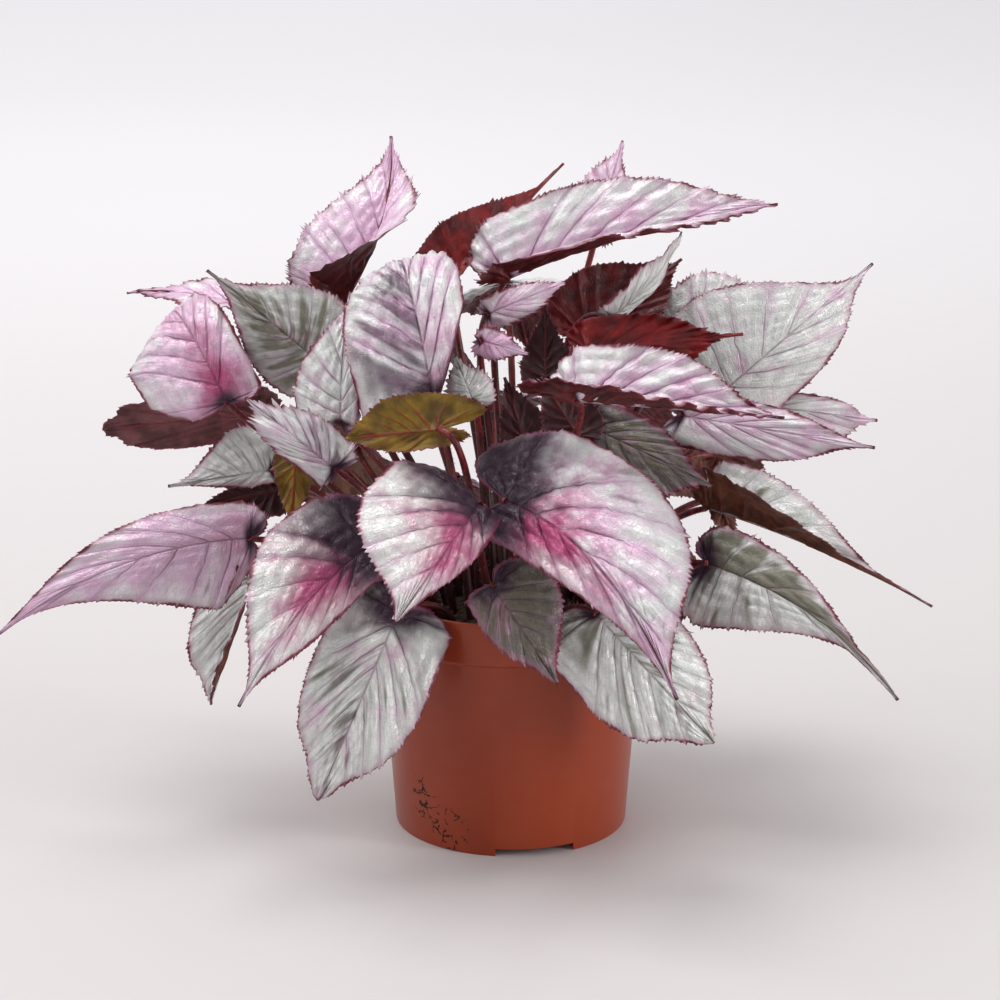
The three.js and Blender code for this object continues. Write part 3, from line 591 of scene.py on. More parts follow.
class Leaf:
    """The midrib and the outline of one leaf, and where each place of its flat blade comes to lie."""

    def __init__(self, at, tip, half, lobe, look, mid=None, bow=0, sway=0, turn=(0, 0), belly=(0, 0),
                 taper=(1, 1), slant=(0, 0), tail=TAIL, fold=((0, 0), (0, 0)),
                 curl=((DROOP, DROOP), (DROOP, DROOP)), heading=0):
        self.half, self.lobe, self.look, self.slant, self.tail = half, lobe, look, slant, tail
        self.belly, self.taper, self.fold, self.curl, self.turn = belly, taper, fold, curl, turn
        self.neck, self.end = seen(at, heading), seen(tip, heading)
        self.line = (self.end - self.neck).normalized()
        sight = Matrix.Rotation(math.radians(heading), 3, "Z") @ EYE - self.neck
        self.facing = self.squared(sight, self.line)
        self.bend = seen(mid, heading) if mid else self.bowed(bow, sway)
        points = [self.midrib(i / 12) for i in range(13)]
        self.length = sum((b - a).length for a, b in zip(points, points[1:]))

    @staticmethod
    def squared(vector, axis):
        """The part of a vector that is square to an axis, at length 1."""
        return (vector - axis * vector.dot(axis)).normalized()

    def rolled(self, degrees):
        return Quaternion(self.line, math.radians(degrees)) @ self.facing

    def bowed(self, bow, sway):
        face = self.rolled(sum(self.turn) / 2)
        return (self.neck + self.end) / 2 + face * 2 * bow + face.cross(self.line) * 2 * sway

    def midrib(self, share):
        rest = 1 - share
        return self.neck * rest ** 2 + self.bend * 2 * share * rest + self.end * share ** 2

    def frame(self, share):
        """The directions along the midrib, out of the face and to the left, at a share of the midrib."""
        held = min(max(share, 0), 1)
        along = ((self.bend - self.neck) * (1 - held) + (self.end - self.bend) * held).normalized()
        face = self.squared(self.rolled(between(self.turn, held)), along)
        return along, face, face.cross(along)

    def edge(self, share, side):
        """Where the edge of the flat blade is: along the midrib, and out from it."""
        x, y = smooth(OUTLINE, share)
        drawn = max(0, (share - DRAWN_SHARE) / (1 - DRAWN_SHARE))
        tail = self.tail * max(1 - x, 0) ** TAIL_ROUNDING if x > TAIL_FROM else 0
        out = max(self.half[side] * max(y, 0) ** (self.taper[side] ** drawn), tail)
        along = x * self.lobe[side] if x < 0 else (x + self.belly[side] * 4 * x * (1 - x) ** 2) * self.length
        return Vector((along + self.slant[side] * out, out))

    def foot(self, share):
        """Where on the midrib the vein to that place of the edge starts."""
        k = max(0, (share - FAN_SHARE) / (1 - FAN_SHARE))
        return Vector((self.length * (0.55 * k ** 1.1 + 0.45 * k ** 3), 0))

    def bent(self, flat, out, side):
        """Where a place of the flat blade comes to lie, the midrib's face there and the blade's own."""
        u = flat.x / self.length
        along, face, left = self.frame(u)
        base = self.midrib(min(u, 1)) if u >= 0 else self.neck + along * flat.x
        lift = math.radians(between(self.fold[side], u) + between(self.curl[side], u) * out / 2)
        aside = -left if side else left
        place = base + (aside * math.cos(lift) + face * math.sin(lift)) * flat.y
        return place, face, face * math.cos(lift) - aside * math.sin(lift)


leaves = [Leaf(**row) for row in LEAVES]
print("longest blade in mm:", round(max(leaf.length for leaf in leaves)))

# %% [markdown]
# ## Leaves: the roots
# Every stalk rises from the short stem in the soil. A root stands on the side of the pot that its blade is
# on, and the roots are pushed apart until no two crowd each other.

# %% Where the stalks stand
ROOT_SPACING, ROOT_LIMIT = 8, 45
ROOT_FIRST, ROOT_FIRST_LIMIT = 8, 40
ROOT_REACH_SHARE, ROOT_DROP_SHARE, CROWN = 0.25, 0.12, 210
SPREADING_ROUNDS = 80


def place_roots():
    roots = []
    for leaf in leaves:
        reach = leaf.neck.xy.length
        radius = ROOT_FIRST + ROOT_REACH_SHARE * reach + ROOT_DROP_SHARE * max(0, CROWN - leaf.neck.z)
        roots.append(leaf.neck.xy.normalized() * min(ROOT_FIRST_LIMIT, radius))
    for spreading in range(SPREADING_ROUNDS):
        for i, root in enumerate(roots):
            for other in roots[:i]:
                apart = root - other
                short = ROOT_SPACING - apart.length
                if short > 0:
                    push = apart.normalized() * short / 2
                    root += push
                    other -= push
            if root.length > ROOT_LIMIT:
                root.length = ROOT_LIMIT
    return roots


roots = place_roots()
print("roots spread out to mm:", round(max(root.length for root in roots), 1))

# %% [markdown]
# ## Leaves: the dress
# The leaves of one plant differ with age and light. A tint says how a face is coloured: how far the dark
# heart reaches from the stalk in millimetres, and how much crimson, pink, olive and frost it has. A back says
# which colour its underside shows and how strongly its veins stand out. Olive and flush shares say how much
# of the olive and the crimson each half gets, where the halves differ. Three more numbers shape the surface:
# how high the pillows between the veins stand, how strongly the margin is crisped, and how long its teeth
# are, all in millimetres.

# %% The dress of each leaf
TINTS = {
    "rosy": ((5, 0.4, 0.9, 0.0, 1.0), (1, 2, 13, 33, 38, 42, 46)),
    "glowing": ((5, 0.9, 0.9, 0.0, 1.0), (7,)),
    "blush": ((4, 0.3, 0.65, 0.0, 1.0), (25, 27, 31, 34)),
    "pearl": ((4, 0.25, 0.4, 0.05, 1.0), (6, 26, 29, 30, 43, 49)),
    "flushed": ((30, 1.0, 0.35, 0.05, 1.0), (15, 16, 44, 47)),
    "lilac": ((30, 1.0, 0.7, 0.05, 1.0), (17,)),
    "veiled": ((9, 0.3, 0.6, 0.75, 0.85), (4,)),
    "silver": ((4, 0.05, 0.05, 0.3, 1.0), (10, 14, 23, 36, 45, 48, 51)),
    "banded": ((4, 0.05, 0.05, 0.5, 1.0), (19,)),
    "patched": ((5, 0.1, 0.45, 0.5, 1.0), (9,)),
    "mossy": ((8, 0.1, 0.05, 0.8, 0.9), (21, 22, 24, 50, 52)),
    "bark": ((12, 0.2, 0.25, 0.75, 0.15), (18,)),
    "antique": ((13, 0.2, 0.35, 0.55, 0.85), (20,)),
    "steel": ((6, 0.1, 0.2, 0.8, 0.65), (3,)),
    # Painted shade: this tint paints dark and dull the faces of leaves that stand in the shade inside the
    # plant.
    "painted_shade": ((14, 0.1, 0.1, 0.5, 0.2), (5, 8, 11, 12, 28, 32, 35, 37, 39, 40, 41)),
}
BACKS = {
    "blood": (colour(98, 18, 24), 0.35,
              (1, 2, 4, 6, 7, 15, 16, 17, 27, 30, 31, 33, 34, 35, 38, 42, 43, 44, 46, 47)),
    # Painted light: this red is lighter, painted as the glow of light shining through these two undersides.
    "painted_glow_red": (colour(134, 25, 27), 0.5, (32, 37)),
    # Painted shade: this darker red paints the undersides that lie in the shade deep inside the plant.
    "painted_shade_maroon": (colour(62, 18, 25), 0.25, (11, 28, 39, 40, 41)),
    "brown": (colour(118, 70, 48), 0.4, (10, 14, 21, 22, 23, 24, 36, 45, 48, 50, 51, 52)),
    "mauve": (colour(130, 76, 80), 0.35, (8, 9, 13, 19, 20, 25, 26, 29, 49)),
    "moss": (colour(140, 112, 26), 0.9, (3, 5, 12, 18)),
}
OLIVE_SHARES = {4: (1, 0.1), 20: (0.6, 1), 21: (1.6, 0.6)}
FLUSH_SHARES = {17: (0.7, 1.4), 4: (0.6, 1.3)}
PILLOWS = {4: 2.1, 7: 1.4, 9: 1.7, 13: 0.6, 16: 1.6, 17: 2.1, 27: 2.2, 29: 0.7, 31: 1.6}
CRISPS = {9: 1.6, 27: 1.4, 28: 1.6, 31: 1.5, 37: 2.2}
TEETH = {1: 1.9, 9: 1.8, 33: 1.9, 31: 1.6, 30: 1.7}
PLAIN_PILLOW, PLAIN_CRISP, PLAIN_TOOTH = 1.2, 0.6, 1.1


def dress_of(number):
    """The tint, the back, the pillow height, the crisping and the tooth length of a leaf, in that order."""
    tint = next(values for values, numbers in TINTS.values() if number in numbers)
    back = next((shade, net) for shade, net, numbers in BACKS.values() if number in numbers)
    return (tint, back, PILLOWS.get(number, PLAIN_PILLOW), CRISPS.get(number, PLAIN_CRISP),
            TEETH.get(number, PLAIN_TOOTH))


print("tints:", ", ".join(TINTS))

# %% [markdown]
# ## Leaves: the blade
# A blade is a grid, rolled out from the stalk like a fan: its rows run from the midrib to the margin and its
# columns run along them. Some rows lie on the veins, so that the creases there are real edges of the mesh.
# Two rows make one tooth of the margin. Between the veins the blade is pillowed and crossed by small rungs.
# Each point also stores what the finish needs later: how far the veins, the margin and the midrib are, and
# how dark, crimson, pink and olive the blade is there.

# %% Laying out the blade
VEIN_SHARES = [0, 0.1, 0.22, 0.34, 0.45, 0.55, 0.65, 0.75, 0.86, 1]
LAST_VEIN = len(VEIN_SHARES) - 1
TOOTH_PITCH = 2.2
COLUMN_WIDTH, FEWEST_COLUMNS, MOST_COLUMNS = 1.4, 6, 28
COLUMN_CROWDING = 1.2
HALF_BLADE = 0.3
NARROW_HALF = 5
MIDRIB_FADES = 0.8
SHORT_RAY = 3
PILLOW_GAP = 7
RUNG_SPACING = 6
CRISP_WAVES = 1.5
UNDULATION, UNDULATION_SIZE, UNDULATION_STARTS = 0.7, 16, 6
CRINKLE, CRINKLE_SIZE, CRINKLE_STARTS = 0.6, 3.8, 3


def share_of(vein):
    """The share of the edge at a place that is counted in veins."""
    k = min(int(vein), LAST_VEIN - 1)
    return VEIN_SHARES[k] + (VEIN_SHARES[k + 1] - VEIN_SHARES[k]) * (vein - k)


def lay_rows(leaf):
    """The rows of a blade, counted in veins: two for each tooth of the margin."""
    rows = []
    for k in range(LAST_VEIN):
        span = 0
        for side in (0, 1):
            points = [leaf.edge(share_of(k + i / 4), side) for i in range(5)]
            span += sum((b - a).length for a, b in zip(points, points[1:])) / 2
        teeth = max(1, round(span / TOOTH_PITCH))
        rows += [k + i / (2 * teeth) for i in range(2 * teeth)]
    return rows + [LAST_VEIN]


class Row:
    """One row of a blade on one side: its foot, its edge, and how both move from vein to vein."""

    STEP = 0.02

    def __init__(self, leaf, vein, side):
        share = share_of(vein)
        before, after = share_of(max(vein - self.STEP, 0)), share_of(min(vein + self.STEP, LAST_VEIN))
        span = min(vein + self.STEP, LAST_VEIN) - max(vein - self.STEP, 0)
        self.share = share
        self.foot, self.edge = leaf.foot(share), leaf.edge(share, side)
        self.foot_step = (leaf.foot(after) - leaf.foot(before)) / span
        self.edge_step = (leaf.edge(after, side) - leaf.edge(before, side)) / span

    def flat(self, out):
        ray = self.edge - self.foot
        return self.foot + Vector((ray.x * out ** VEIN_BOW, ray.y * out))

    def gap(self, out):
        """The distance from one vein to the next here, square to the vein."""
        step = self.foot_step * (1 - out) + self.edge_step * out
        ray = (self.edge - self.foot).normalized()
        return abs(step.cross(ray))

    def to_margin(self, flat):
        return abs((self.edge - flat).cross(self.edge_step.normalized()))


def swell(number, vein, out, side, gap, rungs):
    """How far a place stands up, from 0 to 1, on the pillow between two veins that rungs cross."""
    height = abs(math.sin(math.pi * vein)) ** 0.7 * min(1, gap / PILLOW_GAP)
    shift = noise.noise(Vector((int(vein) * 3.7, side * 9.1, number)))
    rung = abs(math.sin(math.pi * (rungs * out + shift)))
    fade = math.sqrt(max(0, math.sin(math.pi * min(out, 1) ** 0.8)))
    return height * (0.3 + 0.7 * rung) * fade


def wrinkle(size, flat, seed):
    return noise.noise(Vector((flat.x / size, flat.y / size, seed)))


def rise_of(number, vein, out, side, gap, flat, proud, shape, phase):
    """How far a place stands off the bent blade in millimetres: pillows, crisping, waves and wrinkles."""
    pillow, crisp = shape
    rise = HALF_BLADE + pillow * proud
    rise += crisp * out ** 4 * math.sin(2 * math.pi * (CRISP_WAVES * vein + phase)) * min(1, gap / PILLOW_GAP)
    soft = wrinkle(UNDULATION_SIZE, flat, number * 5.3 + side)
    rise += UNDULATION * soft * min(1, flat.y / UNDULATION_STARTS)
    fine = wrinkle(CRINKLE_SIZE, flat, number * 7.7 + side)
    return rise + CRINKLE * pillow * fine * min(1, flat.y / CRINKLE_STARTS)


# %% [markdown]
# The colour zones follow the veins as on the living leaf: the dark heart spreads from the stalk, far into the
# lobes behind it and a little along the veins, and is smaller on a short blade. Crimson lies before it and
# runs down the midrib, pink fills the middle of the blade, and olive bands lie between the veins.

# %% Where a blade is dark, crimson, pink and olive
HEART_LEAN = 0.55
FULL_HEART_LENGTH = 70


def zones_of(tint, shares, vein, out, flat, length):
    heart_reach, flush, pink, olive, frost = tint
    olive_share, flush_share = shares
    heart_reach *= min(1, length / FULL_HEART_LENGTH)
    near = abs(vein - round(vein)) * 2
    ahead = flat.x / max(flat.length, 1)
    reach = flat.length * (0.8 + 0.4 * near) / (1 - HEART_LEAN * ahead)
    u = min(max(flat.x / length, 0), 1)
    heart = 1 - reach / (2 * heart_reach)
    ring = math.exp(-((flat.length - heart_reach) / (heart_reach * 0.6 + 6)) ** 2) * (0.6 + 0.4 * ahead)
    rib = math.exp(-(flat.y / 12) ** 2) * (1 - u) ** 0.8
    crimson = flush * flush_share * (0.5 * ring * (1 - 0.4 * out) + 0.6 * rib)
    rosy = pink * (1 - 0.5 * out ** 3) + 0.25 * pink * max(0, u - 0.7) / 0.3
    patch = olive * olive_share * (1 - min(out, 1) ** 4) * (0.6 + 0.4 * near)
    return (heart, crimson, rosy), (patch, frost)


# %% [markdown]
# With the rows and zones ready, the grid is bent into the leaf. The points that meet at the stalk and at the
# tip are merged, and the sheet is extruded: the new sheet is the face, the old one is lowered along its own
# normals and becomes the underside, thicker where the veins stand out as ribs.

# %% Growing the blade
BLADE_THICKNESS, MARGIN_THINNING = 0.6, 0.5
RIB_DEPTH, MIDRIB_DEPTH = 0.5, 1.1
RIB_WIDTH, MIDRIB_WIDTH = 1.6, 2.6
TOOTH_LOW = 0.45
VEIN_TOOTH = 0.8
BRISTLE_TOOTH = 0.4
MARGIN_STARTS = 0.999
FACE, UNDERSIDE, STALK, HAIR, BRISTLE = range(5)


def margin_teeth(rows, length, chance):
    """How far each row of a margin stands out in millimetres, least between the teeth, most at a vein."""
    teeth = []
    for i, vein in enumerate(rows):
        if i in (0, len(rows) - 1):
            teeth.append(0)
        elif i % 2:
            teeth.append(-length * chance.uniform(0.1, 1) * TOOTH_LOW)
        else:
            at_vein = VEIN_TOOTH if vein == int(vein) else 0
            teeth.append(length * (0.1 + 0.9 * chance.random() ** 2.5 + at_vein * chance.uniform(0.4, 1)))
    return teeth


def rib_height(vein, gap, out, across, length_share):
    """How much thicker the blade is here, where a vein or the midrib runs along its underside."""
    from_vein = abs(vein - round(vein)) * gap
    rib = RIB_DEPTH * max(0, 1 - from_vein / RIB_WIDTH) * (1 - out)
    midrib = MIDRIB_DEPTH * max(0, 1 - across / MIDRIB_WIDTH) * (1 - length_share)
    return max(rib, midrib)


def add_blade(bm, leaf, number, layers):
    """Grows the blade into the bmesh. Returns the places and directions of the teeth."""
    veins, spans, zones, tones, thickness = layers
    tint, back, pillow, crisp, tooth = dress_of(number)
    shares = list(zip(OLIVE_SHARES.get(number, (1, 1)), FLUSH_SHARES.get(number, (1, 1))))
    chance = random.Random(number)
    rows = lay_rows(leaf)
    last = len(rows) - 1
    half_columns = min(MOST_COLUMNS, max(FEWEST_COLUMNS, round(max(leaf.half) / COLUMN_WIDTH)))
    sides = [[Row(leaf, vein, side) for vein in rows] for side in (0, 1)]
    teeth = [margin_teeth(rows, tooth, chance) for side in (0, 1)]
    phases = [chance.uniform(0, 1) for side in (0, 1)]
    grid = bmesh.ops.create_grid(bm, x_segments=2 * half_columns, y_segments=last, size=1)["verts"]
    marks, points = {}, {}
    for vert in grid:
        i, side = round((vert.co.y + 1) / 2 * last), int(vert.co.x > 0)
        out = abs(vert.co.x) ** COLUMN_CROWDING
        vein, row = rows[i], sides[side][i]
        ray = max((row.edge - row.foot).length, SHORT_RAY)
        stretch = 1 + teeth[side][i] / ray if out > MARGIN_STARTS else 1
        flat = row.flat(out * stretch)
        gap = row.gap(out)
        place, face, own = leaf.bent(flat, out, side)
        fade = min(1, 6 * row.share, 6 * (1 - row.share))
        ripple = RIPPLE * out ** 2 * math.sin(2 * math.pi * (WAVES * row.share + 0.3 * side)) * fade
        rungs = max(leaf.half[side] / RUNG_SPACING, 2)
        proud = swell(number, vein, out, side, gap, rungs)
        rise = rise_of(number, vein, out, side, gap, flat, proud, (pillow, crisp), phases[side])
        place = place + face * ripple + own * rise
        marks[vert] = (vein, out if side else -out)
        near_tip = min(1, max(0, flat.x / leaf.length - MIDRIB_FADES) / (1 - MIDRIB_FADES))
        rib = rib_height(vein, gap, out, flat.y, max(flat.x, 0) / leaf.length)
        vert[thickness] = BLADE_THICKNESS * (1 - MARGIN_THINNING * max(min(out, 1) ** 4, near_tip)) + rib
        points[side, i, round(abs(vert.co.x) * half_columns)] = place
        to_margin = row.to_margin(flat)
        narrow = max(1, NARROW_HALF / max(to_margin + flat.y, 0.1))
        vert[spans] = (gap, to_margin * narrow, flat.y + near_tip)
        vert[zones], (patch, frost) = zones_of(tint, shares[side], vein, out, flat, leaf.length)
        vert[tones] = (patch, frost, proud)
        vert.co = place * MM
    for face in bm.faces:
        for loop in face.loops:
            loop[veins].uv = marks[loop.vert]
    thicken(bm, thickness, zones, tones, back)
    tips = []
    for side in (0, 1):
        for i in range(2, last, 2):
            end, inner = points[side, i, half_columns], points[side, i, half_columns - 1]
            if teeth[side][i] > BRISTLE_TOOTH:
                tips.append((end, (end - inner).normalized()))
    return tips


def thicken(bm, thickness, zones, tones, back):
    """Turns the sheet into a thin closed body, face up, and stores how its underside looks."""
    shade, net = back
    bmesh.ops.remove_doubles(bm, verts=bm.verts, dist=MERGE_DISTANCE)
    bm.normal_update()
    lowered = [(vert, vert.normal.copy()) for vert in bm.verts]
    undersides = bm.faces[:]
    bmesh.ops.extrude_face_region(bm, geom=bm.verts[:] + bm.edges[:] + bm.faces[:], use_keep_orig=True)
    for vert, normal in lowered:
        vert.co -= normal * vert[thickness] * MM
        vert[zones] = shade[:3]
        vert[tones] = (net, 0, 0)
    for face in undersides:
        face.material_index = UNDERSIDE


# %% [markdown]
# ## Leaves: the stalk and the hairs
# A stalk stands upright in the soil and bends over to the blade's neck. It is a cone with twelve sides, cut
# into rings that are moved onto the bent line. Rex begonias are hairy: the stalks carry soft pale hairs and
# the teeth of the margin end in dark bristles. There are thousands, so each is a cone with three sides.

# %% Growing the stalk and the hairs
HOLE_DEPTH, CLEARANCE = 12, 0.35
BEND_BELOW, LEAN, BEND_ABOVE, ARRIVAL = 0.45, 0.002, 0.3, (0.75, 0.55)
STALK_SIDES, STALK_RINGS = 12, 22
ROOT_RADIUS, NECK_RADIUS, LAST_RING = 1.9, 1.35, 0.6
UNEVENNESS, UNEVENNESS_SIZE = 0.06, 9
STALK_HAIRS = 70
HAIR_RADIUS, HAIR_LENGTH = 0.09, (0.8, 2.2)
BRISTLE_RADIUS, BRISTLE_LENGTH = 0.09, (0.4, 1.1)


def stalk_line(leaf, root):
    """The points of a stalk's middle line, from its foot in the soil to the neck of the blade."""
    ground = soil_height(root.length)
    foot, start = (Vector((root.x, root.y, ground + lift)) for lift in (CLEARANCE - HOLE_DEPTH, 0.5))
    along, face, left = leaf.frame(0)
    arriving = (face * ARRIVAL[0] + along * ARRIVAL[1]).normalized()
    height = (leaf.neck - start).length
    lower = start + Vector((LEAN * root.x, LEAN * root.y, BEND_BELOW)) * height
    upper = leaf.neck - arriving * BEND_ABOVE * height
    return [foot, *geometry.interpolate_bezier(start, lower, upper, leaf.neck, STALK_RINGS)]


def stalk_rings(line):
    """A radius and two directions square to the line at each of its points, carried along without a twist."""
    rings = []
    aside = Vector((1, 0, 0))
    for i, centre in enumerate(line):
        ahead = (line[min(i + 1, len(line) - 1)] - line[max(i - 1, 0)]).normalized()
        aside = Leaf.squared(aside, ahead)
        share = i / (len(line) - 1)
        radius = ROOT_RADIUS + (NECK_RADIUS - ROOT_RADIUS) * share
        radius *= 1 + UNEVENNESS * noise.noise(centre / UNEVENNESS_SIZE)
        if i == len(line) - 1:
            radius *= LAST_RING
        rings.append((centre, aside.copy(), ahead.cross(aside), radius))
    return rings


def add_stalk(bm, rings, spans):
    first = len(bm.verts)
    tube = bmesh.ops.create_cone(bm, cap_ends=True, segments=STALK_SIDES, radius1=1, radius2=1, depth=2)
    upright = [edge for edge in {edge for vert in tube["verts"] for edge in vert.link_edges}
               if abs(edge.verts[0].co.z - edge.verts[1].co.z) > 1]
    bmesh.ops.subdivide_edges(bm, edges=upright, cuts=len(rings) - 2, use_grid_fill=True)
    bm.verts.ensure_lookup_table()
    made = bm.verts[first:]
    for vert in made:
        i = round((vert.co.z + 1) / 2 * (len(rings) - 1))
        centre, aside, other, radius = rings[i]
        around = math.atan2(vert.co.y, vert.co.x)
        vert[spans] = (i / (len(rings) - 1), 0, 0)
        vert.co = (centre + (aside * math.cos(around) + other * math.sin(around)) * radius) * MM
    for face in {face for vert in made for face in vert.link_faces}:
        face.material_index = STALK


def add_hair(bm, root, direction, length, radius, material):
    """One hair: a cone with three sides that stands on its root in millimetres."""
    turn = direction.to_track_quat("Z", "Y").to_matrix().to_4x4()
    place = Matrix.Translation((root + direction * length / 2) * MM)
    cone = bmesh.ops.create_cone(bm, cap_ends=True, segments=3, radius1=radius * MM, radius2=0,
                                 depth=length * MM, matrix=place @ turn)["verts"]
    for face in {face for vert in cone for face in vert.link_faces}:
        face.material_index = material


def add_hairs(bm, rings, tips, chance):
    for i in range(STALK_HAIRS):
        centre, aside, other, radius = rings[chance.randrange(2, len(rings) - 1)]
        angle = chance.uniform(0, 2 * math.pi)
        outward = aside * math.cos(angle) + other * math.sin(angle)
        upward = aside.cross(other)
        root = centre + outward * radius * 0.9 + upward * chance.uniform(-2, 2)
        lean = (outward + upward * chance.uniform(-0.3, 0.6)).normalized()
        add_hair(bm, root, lean, chance.uniform(*HAIR_LENGTH), HAIR_RADIUS, HAIR)
    for end, outward in tips:
        length = chance.uniform(*BRISTLE_LENGTH)
        add_hair(bm, end - outward * 0.3, outward, length, BRISTLE_RADIUS, BRISTLE)


# %% [markdown]
# ## Leaf finishes
# The face is built up in layers, as the pigments are: frosted silver with a streaky tone, pink over it,
# olive patches between the veins, crimson near the stalk, the dark heart, then the thin dark veins with their
# forks and a rose margin of uneven width. The veins come from the blade's own map, where a whole number is a
# vein, so a triangle wave finds the nearest one. The zones that the mesh stores are broken up by noise.

# %% Leaf finishes
MARGIN_WIDTH = 1.5


def vein_map(finish):
    return finish.add("ShaderNodeUVMap", {}, uv_map="veins").outputs["UV"]


def vein_lines(finish, where):
    """How strongly a vein runs here, from 0 to 1, then the distances in millimetres: to the margin, to the
    nearest vein, and from one vein to the next."""
    wobble = finish.math("MULTIPLY", finish.math("SUBTRACT", finish.noise(130), 0.5), 0.25)
    vein, out = finish.parts(where)[:2]
    near = finish.math("PINGPONG", finish.math("ADD", vein, wobble), 0.5)
    gap, margin, midrib = finish.stored("spans")
    from_vein = finish.math("MULTIPLY", near, gap)
    fork = finish.step(finish.math("ABSOLUTE", out), 0.3, 1.05, 0.0, 0.33)
    from_fork = finish.math("MULTIPLY", finish.math("ABSOLUTE", finish.math("SUBTRACT", near, fork)), gap)
    thin = finish.step(finish.math("ABSOLUTE", out), 0.2, 1.0, 1.0, 0.3)
    thin = finish.math("MULTIPLY", thin, finish.step(gap, 1.0, 3.5, 0.1, 1.0))
    main = finish.math("MULTIPLY", finish.step(from_vein, 0.4, 0.1), thin)
    forks = finish.math("MULTIPLY", finish.step(from_fork, 0.35, 0.08, 0.0, 0.4), thin)
    lines = finish.math("MAXIMUM", finish.math("MAXIMUM", main, forks), finish.step(midrib, 0.6, 0.2))
    lines = finish.math("MULTIPLY", lines, finish.step(finish.noise(120), 0.3, 0.6, 0.45, 1.0))
    net = finish.step(finish.cells(330), 0.06, 0.0, 0.0, 0.2)
    return finish.math("MAXIMUM", lines, net), margin, from_vein, gap


def face_finish():
    face = Finish("leaf_face", {"Specular IOR Level": 0.5, "Metallic": 0.22})
    where = vein_map(face)
    lines, margin, from_vein, gap = vein_lines(face, where)
    heart, crimson, pink = face.stored("zones")
    olive, frost, proud = face.stored("tones")
    blotch = face.math("SUBTRACT", face.noise(85, 3.0), 0.5)
    cloud = face.math("SUBTRACT", face.noise(38, 2.0), 0.5)
    streak = face.noise(1.0, 3.0, place=face.scaled((7, 2.2, 1), where))
    grain = face.cells(1300, "F1")

    def zone(amount, breakup, start, end):
        return face.step(face.math("ADD", amount, face.math("MULTIPLY", blotch, breakup)), start, end)

    pale = face.mix(face.step(streak, 0.35, 0.65), colour(214, 219, 215), colour(246, 248, 246))
    tone = face.mix(face.step(frost, 0.1, 1.0), colour(104, 98, 90), pale)
    halo = face.step(from_vein, 3.0, 0.3, 0.0, 0.2)
    tone = face.mix(zone(face.math("ADD", pink, halo), 1.3, 0.3, 1.0), tone, colour(232, 196, 223))
    tone = face.mix(face.step(grain, 0.0, 0.8, 0.18, 0.0), tone, colour(182, 176, 182))
    # Partly the leaf's own colour and partly painted shade: the low places between the pillows are painted
    # grey.
    low = face.math("MULTIPLY", face.step(proud, 0.5, 0.05), face.step(streak, 0.3, 0.7, 0.0, 0.38))
    low = face.math("MULTIPLY", low, face.step(gap, 1.5, 5.0))
    tone = face.mix(low, tone, colour(134, 120, 132))
    run = face.math("SUBTRACT", face.noise(1.0, 2.0, place=face.scaled((2.3, 1.3, 1), where)), 0.5)
    green = face.math("ADD", olive, face.math("MULTIPLY", cloud, 1.0))
    green = face.math("ADD", green, face.math("MULTIPLY", run, 2.2))
    patch = face.mix(face.step(pink, 0.1, 0.6), colour(104, 102, 78), colour(92, 66, 88))
    tone = face.mix(face.step(green, 0.3, 0.85, 0.0, 0.85), tone, patch)
    flush = face.math("ADD", crimson, face.math("MULTIPLY", face.math("SUBTRACT", streak, 0.5), 0.5))
    tone = face.mix(zone(flush, 0.9, 0.0, 0.95), tone, colour(168, 66, 112))
    tone = face.mix(zone(heart, 0.5, -0.15, 0.7), tone, colour(50, 28, 45))
    tone = face.mix(face.math("MULTIPLY", lines, 0.42), tone, colour(92, 46, 72))
    rim = face.math("ADD", margin, face.math("MULTIPLY", blotch, 4.0))
    tone = face.mix(face.step(rim, 4.0, 0.5, 0.0, 0.45), tone, colour(172, 104, 140))
    tone = face.mix(face.step(rim, MARGIN_WIDTH, 0.3), tone, colour(112, 34, 58))
    height = face.math("SUBTRACT", face.math("MULTIPLY", face.noise(420, 3.0), 0.8), lines)
    height = face.math("ADD", height, face.math("MULTIPLY", grain, 0.3))
    height = face.math("ADD", height, streak)
    face.relief(height, 0.4)
    return face.wear(tone, face.step(face.noise(500), 0.3, 0.7, 0.33, 0.48))


def underside_finish():
    back = Finish("leaf_underside", {"Specular IOR Level": 0.4})
    lines, margin = vein_lines(back, vein_map(back))[:2]
    tint = back.add("ShaderNodeAttribute", {}, attribute_name="zones").outputs["Vector"]
    net = back.stored("tones")[0]
    tone = back.mix(back.step(back.noise(110, 3.0), 0.35, 0.65, 0.0, 0.6), tint, colour(36, 12, 17))
    tone = back.mix(back.math("MULTIPLY", lines, net), tone, colour(136, 36, 38))
    # Painted light: the rim of the underside is painted a lighter pink, as the glow of light through the thin
    # margin.
    tone = back.mix(back.step(margin, 1.0, 0.3, 0.0, 0.6), tone, colour(150, 70, 84))
    height = back.math("ADD", lines, back.noise(300, 3.0))
    back.relief(back.math("ADD", height, back.math("MULTIPLY", back.noise(800), 0.3)), 0.35)
    return back.wear(tone, back.step(back.noise(300), 0.3, 0.7, 0.4, 0.55))


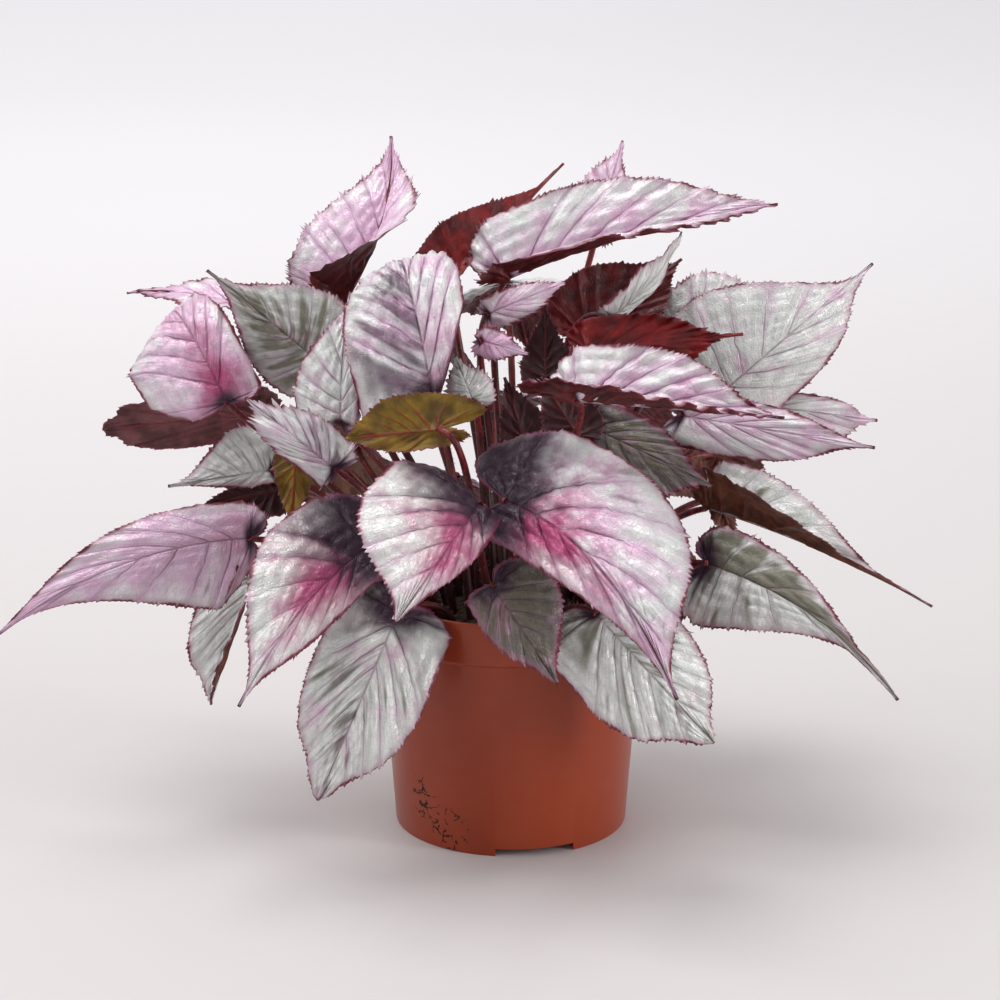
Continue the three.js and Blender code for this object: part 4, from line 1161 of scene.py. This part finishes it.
def stalk_finish():
    stalk = Finish("stalk_skin", {"Specular IOR Level": 0.5})
    long = stalk.noise(1.0, 2.0, place=stalk.scaled((500, 500, 60)))
    tone = stalk.mix(stalk.step(long, 0.35, 0.65), colour(82, 18, 24), colour(130, 38, 40))
    # Painted shade: the stalk is painted near black towards its foot, where it stands in the shade under the
    # leaves.
    up = stalk.stored("spans")[0]
    tone = stalk.mix(stalk.step(up, 0.85, 0.15, 0.0, 0.85), tone, colour(34, 13, 15))
    stalk.relief(long, 0.15)
    return stalk.wear(tone, stalk.step(stalk.noise(400), 0.3, 0.7, 0.35, 0.5))


def hair_finish(name, first, second):
    hair = Finish(name, {"Specular IOR Level": 0.4})
    return hair.wear(hair.mix(hair.noise(300), first, second), 0.5)


skins = [
    face_finish(), underside_finish(), stalk_finish(),
    hair_finish("stalk_hair", colour(216, 178, 178), colour(178, 90, 96)),
    hair_finish("margin_bristle", colour(104, 26, 46), colour(150, 56, 84)),
]
print("finishes:", ", ".join(skin.name for skin in skins))

# %% [markdown]
# ## Growing the plant
# Each leaf is one object that takes the place of its CAD solid. Its sharp edges are kept where the face
# meets the rim of the blade, and everything else is shaded smooth.

# %% Growing the plant
RIM_ANGLE = math.radians(60)
HAIR_SEED = 1000


def make_leaf(leaf, root, number):
    bm = bmesh.new()
    veins = bm.loops.layers.uv.new("veins")
    spans, zones, tones = (bm.verts.layers.float_vector.new(name) for name in ("spans", "zones", "tones"))
    thickness = bm.verts.layers.float.new("thickness")
    tips = add_blade(bm, leaf, number, (veins, spans, zones, tones, thickness))
    rings = stalk_rings(stalk_line(leaf, root))
    add_stalk(bm, rings, spans)
    add_hairs(bm, rings, tips, random.Random(HAIR_SEED + number))
    bm.verts.layers.float.remove(thickness)
    for face in bm.faces:
        face.smooth = True
    for edge in bm.edges:
        edge.smooth = edge.calc_face_angle(0) < RIM_ANGLE
    return bm


faces = 0
for number, (leaf, root) in enumerate(zip(leaves, roots), 1):
    grown = new_object(f"begonia_leaf_{number:02d}", make_leaf(leaf, root, number), skins)
    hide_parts(f"leaf_{number:02d}")
    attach(grown, "root")
    faces += len(grown.data.polygons)
print("faces on the leaves:", faces)
